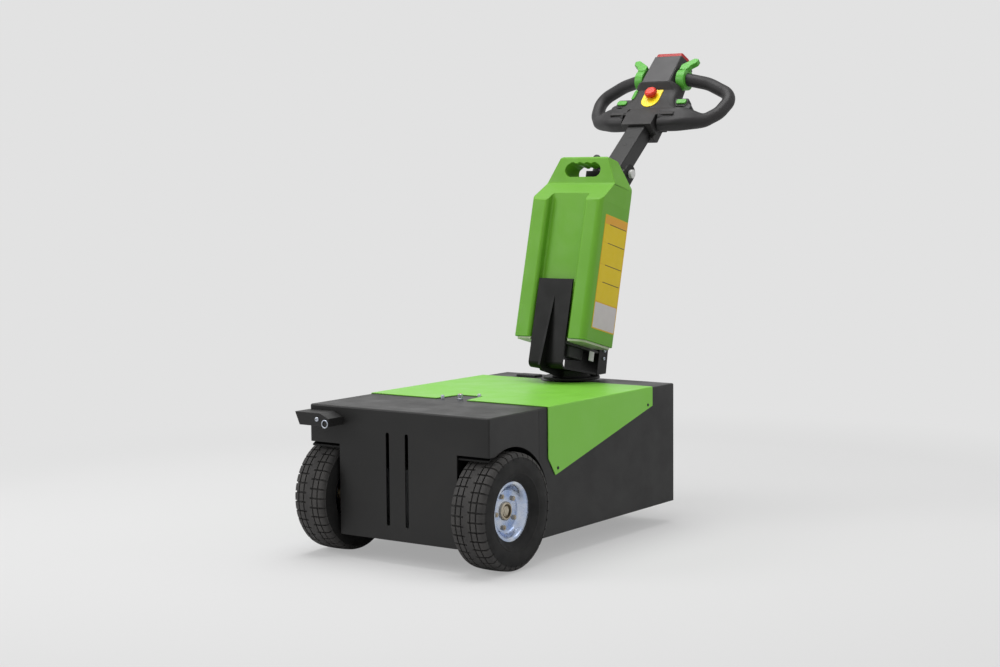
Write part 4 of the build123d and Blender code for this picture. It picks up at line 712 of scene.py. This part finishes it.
# hidden back: its floor's height, its inset, the drop of its upper corner, its floor's reach outwards
FLANK_FLOOR = -40.5
FLANK_INSET = 6.0
FLANK_DROP = 3.0
FLANK_FLOOR_SPREAD = 3.0
# curve's second point: shares of the run across and down
FLANK_PULL = (0.6, 0.22)
# curve's last points: past the outer edge, height
FLANK_EDGE = (0.5, -15.5)
FLANK_FOOT = (2.0, -25.0)
# distance up the head, inner edge across, height of the inner edge out of the panel, outer edge across
FLANK_STATIONS = (
    (60.0, 84.0, -14.0, 92.0), (66.0, 82.0, -12.4, 89.5), (72.0, 76.0, -12.3, 85.0),
    (82.0, 62.0, -12.2, 77.5), (92.0, 55.5, -12.2, 71.5), (103.0, 51.5, -12.2, 67.0),
    (113.0, 49.5, -12.1, 65.0), (125.0, 49.2, -12.1, 64.5), (135.0, 48.8, -12.1, 64.3),
    (142.0, 46.8, -5.4, 64.0), (149.5, 44.6, 2.0, 63.5), (153.5, 44.2, 2.5, 63.0),
)


def flank_section(inner, height, outer):
    """Outline across a flank: its hidden back, then a curve from its inner edge down to its foot."""
    run = outer - inner
    controls = (
        (inner, height),
        (inner + FLANK_PULL[0] * run, height - FLANK_PULL[1] * run),
        (outer + FLANK_EDGE[0], FLANK_EDGE[1]),
        (outer + FLANK_FOOT[0], FLANK_FOOT[1]),
    )
    section = [(inner - FLANK_INSET, FLANK_FLOOR), (inner - FLANK_INSET, height - FLANK_DROP)]
    for step in range(FLANK_STEPS):
        t = step / (FLANK_STEPS - 1)
        weights = ((1 - t) ** 3, 3 * t * (1 - t) ** 2, 3 * t * t * (1 - t), t ** 3)
        section.append(tuple(sum(w * c[axis] for w, c in zip(weights, controls)) for axis in (0, 1)))
    section.append((outer + FLANK_FLOOR_SPREAD, FLANK_FLOOR))
    return section


for side_name, side in SIDES:
    rings = []
    for up, inner, height, outer in FLANK_STATIONS:
        rings.append([HEAD.at(side * x, up, out) for x, out in flank_section(inner, height, outer)])
    name = f"head_flank_{side_name}"
    add_piece(name, stacked_rings(name, rings), "head_plastic", "tiller")

# Horn button on the left flank, tilted with it
HORN_PLACE = HEAD.at(-57.0, 121, -14.4)
HORN_SIZE = (11, 32)
HORN_CORNER = 4.5
HORN_THICKNESS = 3.4
HORN_TILT = math.radians(17)
horn_across = Vector((math.cos(HORN_TILT), 0, 0)) + HEAD.outward * math.sin(HORN_TILT)
horn = plate(
    "horn_cap", HORN_PLACE, horn_across, HEAD.along, HORN_SIZE, HORN_CORNER, HORN_THICKNESS,
    "button_green", "tiller",
)
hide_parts("horn_button")

# End knobs of the head's tabs, and dimples in the tube's front face
TAB_KNOB = ((12, -22), (13, -20.5), (13, -3), (11.6, -1), (8, 0))
TAB_KNOB_X = 108
TAB_KNOB_UP = 84
TAB_KNOB_OUT = -24
for side_name, side in SIDES:
    knob_place = HEAD.at(side * TAB_KNOB_X, TAB_KNOB_UP, TAB_KNOB_OUT)
    turned(f"tab_knob_{side_name}", TAB_KNOB, knob_place, HEAD.outward, "dark_plastic", "tiller")
TUBE_HALF = 22
DIMPLE = ((5.2, -0.4), (5.0, 0.25), (4.2, 0.4), (3.2, 0.3), (1.4, 0.1))
# name, distance along the tube
DIMPLES = (("low", 92.0), ("high", 122.0))
for name, along in DIMPLES:
    dimple_place = TUBE.at(0, along, TUBE_HALF)
    turned(f"tube_dimple_{name}", DIMPLE, dimple_place, TUBE.outward, "body_black", "tiller")


# Floor, light and camera
BACKDROP = linear((226, 226, 226))
AMBIENT = 0.45
FLOOR_SIZE = 40
FLOOR_ALBEDO = 0.72
SHADOW_LIFT = 0.45
FLOOR_FADE_START = 0.9
FLOOR_FADE_END = 2.2


def backdrop_world():
    """An even light from all round, shown as the backdrop's own colour where it is seen or mirrored."""
    world = bpy.data.worlds.new("studio")
    bpy.context.scene.world = world
    world.use_nodes = True
    tree = world.node_tree
    background = tree.nodes["Background"]
    background.inputs["Color"].default_value = (1, 1, 1, 1)
    background.inputs["Strength"].default_value = AMBIENT
    seen = tree.nodes.new("ShaderNodeBackground")
    seen.inputs["Color"].default_value = BACKDROP
    rays = tree.nodes.new("ShaderNodeLightPath")
    shown = rays.outputs["Is Camera Ray"]
    for kind in ("Is Transmission Ray", "Is Glossy Ray"):
        either = tree.nodes.new("ShaderNodeMath")
        either.operation = "MAXIMUM"
        tree.links.new(shown, either.inputs[0])
        tree.links.new(rays.outputs[kind], either.inputs[1])
        shown = either.outputs["Value"]
    mix = tree.nodes.new("ShaderNodeMixShader")
    tree.links.new(shown, mix.inputs["Fac"])
    tree.links.new(background.outputs["Background"], mix.inputs[1])
    tree.links.new(seen.outputs["Background"], mix.inputs[2])
    tree.links.new(mix.outputs["Shader"], tree.nodes["World Output"].inputs["Surface"])


def studio_floor():
    """A pale floor that takes the soft shadow near the object and fades into the backdrop further out."""
    bpy.ops.mesh.primitive_plane_add(size=FLOOR_SIZE)
    floor = bpy.context.object
    floor.name = "studio_floor"
    material = bpy.data.materials.new("floor")
    material.use_nodes = True
    tree = material.node_tree
    tree.nodes.remove(tree.nodes["Principled BSDF"])
    lit = tree.nodes.new("ShaderNodeBsdfDiffuse")
    lit.inputs["Color"].default_value = (FLOOR_ALBEDO, FLOOR_ALBEDO, FLOOR_ALBEDO, 1)
    plain = tree.nodes.new("ShaderNodeEmission")
    plain.inputs["Color"].default_value = BACKDROP
    coordinates = tree.nodes.new("ShaderNodeTexCoord")
    length = tree.nodes.new("ShaderNodeVectorMath")
    length.operation = "LENGTH"
    tree.links.new(coordinates.outputs["Object"], length.inputs[0])
    fade = tree.nodes.new("ShaderNodeMapRange")
    fade.interpolation_type = "SMOOTHSTEP"
    fade.inputs["From Min"].default_value = FLOOR_FADE_START
    fade.inputs["From Max"].default_value = FLOOR_FADE_END
    tree.links.new(length.outputs["Value"], fade.inputs["Value"])
    rays = tree.nodes.new("ShaderNodeLightPath")
    lift = tree.nodes.new("ShaderNodeMath")
    lift.operation = "MULTIPLY"
    lift.inputs[1].default_value = SHADOW_LIFT
    tree.links.new(rays.outputs["Is Camera Ray"], lift.inputs[0])
    share = tree.nodes.new("ShaderNodeMath")
    share.operation = "MAXIMUM"
    tree.links.new(fade.outputs["Result"], share.inputs[0])
    tree.links.new(lift.outputs["Value"], share.inputs[1])
    mix = tree.nodes.new("ShaderNodeMixShader")
    tree.links.new(share.outputs["Value"], mix.inputs["Fac"])
    tree.links.new(lit.outputs["BSDF"], mix.inputs[1])
    tree.links.new(plain.outputs["Emission"], mix.inputs[2])
    tree.links.new(mix.outputs["Shader"], tree.nodes["Material Output"].inputs["Surface"])
    floor.data.materials.append(material)


def soft_lamp(name, location, size, power):
    """A round area lamp that looks at the object's middle."""
    lamp = bpy.data.lights.new(name, "AREA")
    lamp.shape = "DISK"
    lamp.size = size
    lamp.energy = power
    obj = bpy.data.objects.new(name, lamp)
    bpy.context.scene.collection.objects.link(obj)
    obj.location = location
    obj.rotation_mode = "QUATERNION"
    obj.rotation_quaternion = (Vector(LAMP_TARGET) - Vector(location)).to_track_quat("-Z", "Y")


# name, location, size, watts
LAMPS = (
    ("overhead", (-0.3, -0.2, 3.4), 2.6, 80.0),
    ("front_left", (-2.6, -2.6, 2.2), 1.8, 36.0),
    ("right_rim", (2.8, 1.2, 2.0), 1.6, 9.0),
)
LAMP_TARGET = (0.0, 0.0, 0.45)

# The camera that sees the object as the photograph does
CAMERA_PLACE = (2.54241, -3.77366, 0.86489)
CAMERA_YAW = 0.6176
CAMERA_PITCH = 0.0873
CAMERA_ROLL = -0.0085
SENSOR = 36.0
FOCAL_PIXELS = 1877.34
FRAME_WIDTH = 1000


def photo_camera():
    """Sets the scene's camera at the solved place, with its yaw, pitch and roll in radians."""
    camera = bpy.data.cameras.new("camera")
    camera.sensor_width = SENSOR
    camera.lens = SENSOR * FOCAL_PIXELS / FRAME_WIDTH
    obj = bpy.data.objects.new("camera", camera)
    bpy.context.scene.collection.objects.link(obj)
    forward = Vector(
        (
            -math.sin(CAMERA_YAW) * math.cos(CAMERA_PITCH),
            math.cos(CAMERA_YAW) * math.cos(CAMERA_PITCH),
            -math.sin(CAMERA_PITCH),
        )
    )
    level = Vector((math.cos(CAMERA_YAW), math.sin(CAMERA_YAW), 0))
    upright = level.cross(forward)
    right = math.cos(CAMERA_ROLL) * level + math.sin(CAMERA_ROLL) * upright
    up = -math.sin(CAMERA_ROLL) * level + math.cos(CAMERA_ROLL) * upright
    turn = Matrix((right, up, -forward)).transposed()
    obj.matrix_world = Matrix.Translation(CAMERA_PLACE) @ turn.to_4x4()
    bpy.context.scene.camera = obj


backdrop_world()
studio_floor()
for lamp in LAMPS:
    soft_lamp(*lamp)
photo_camera()
bpy.context.scene.view_settings.view_transform = "Standard"

bpy.context.view_layer.update()
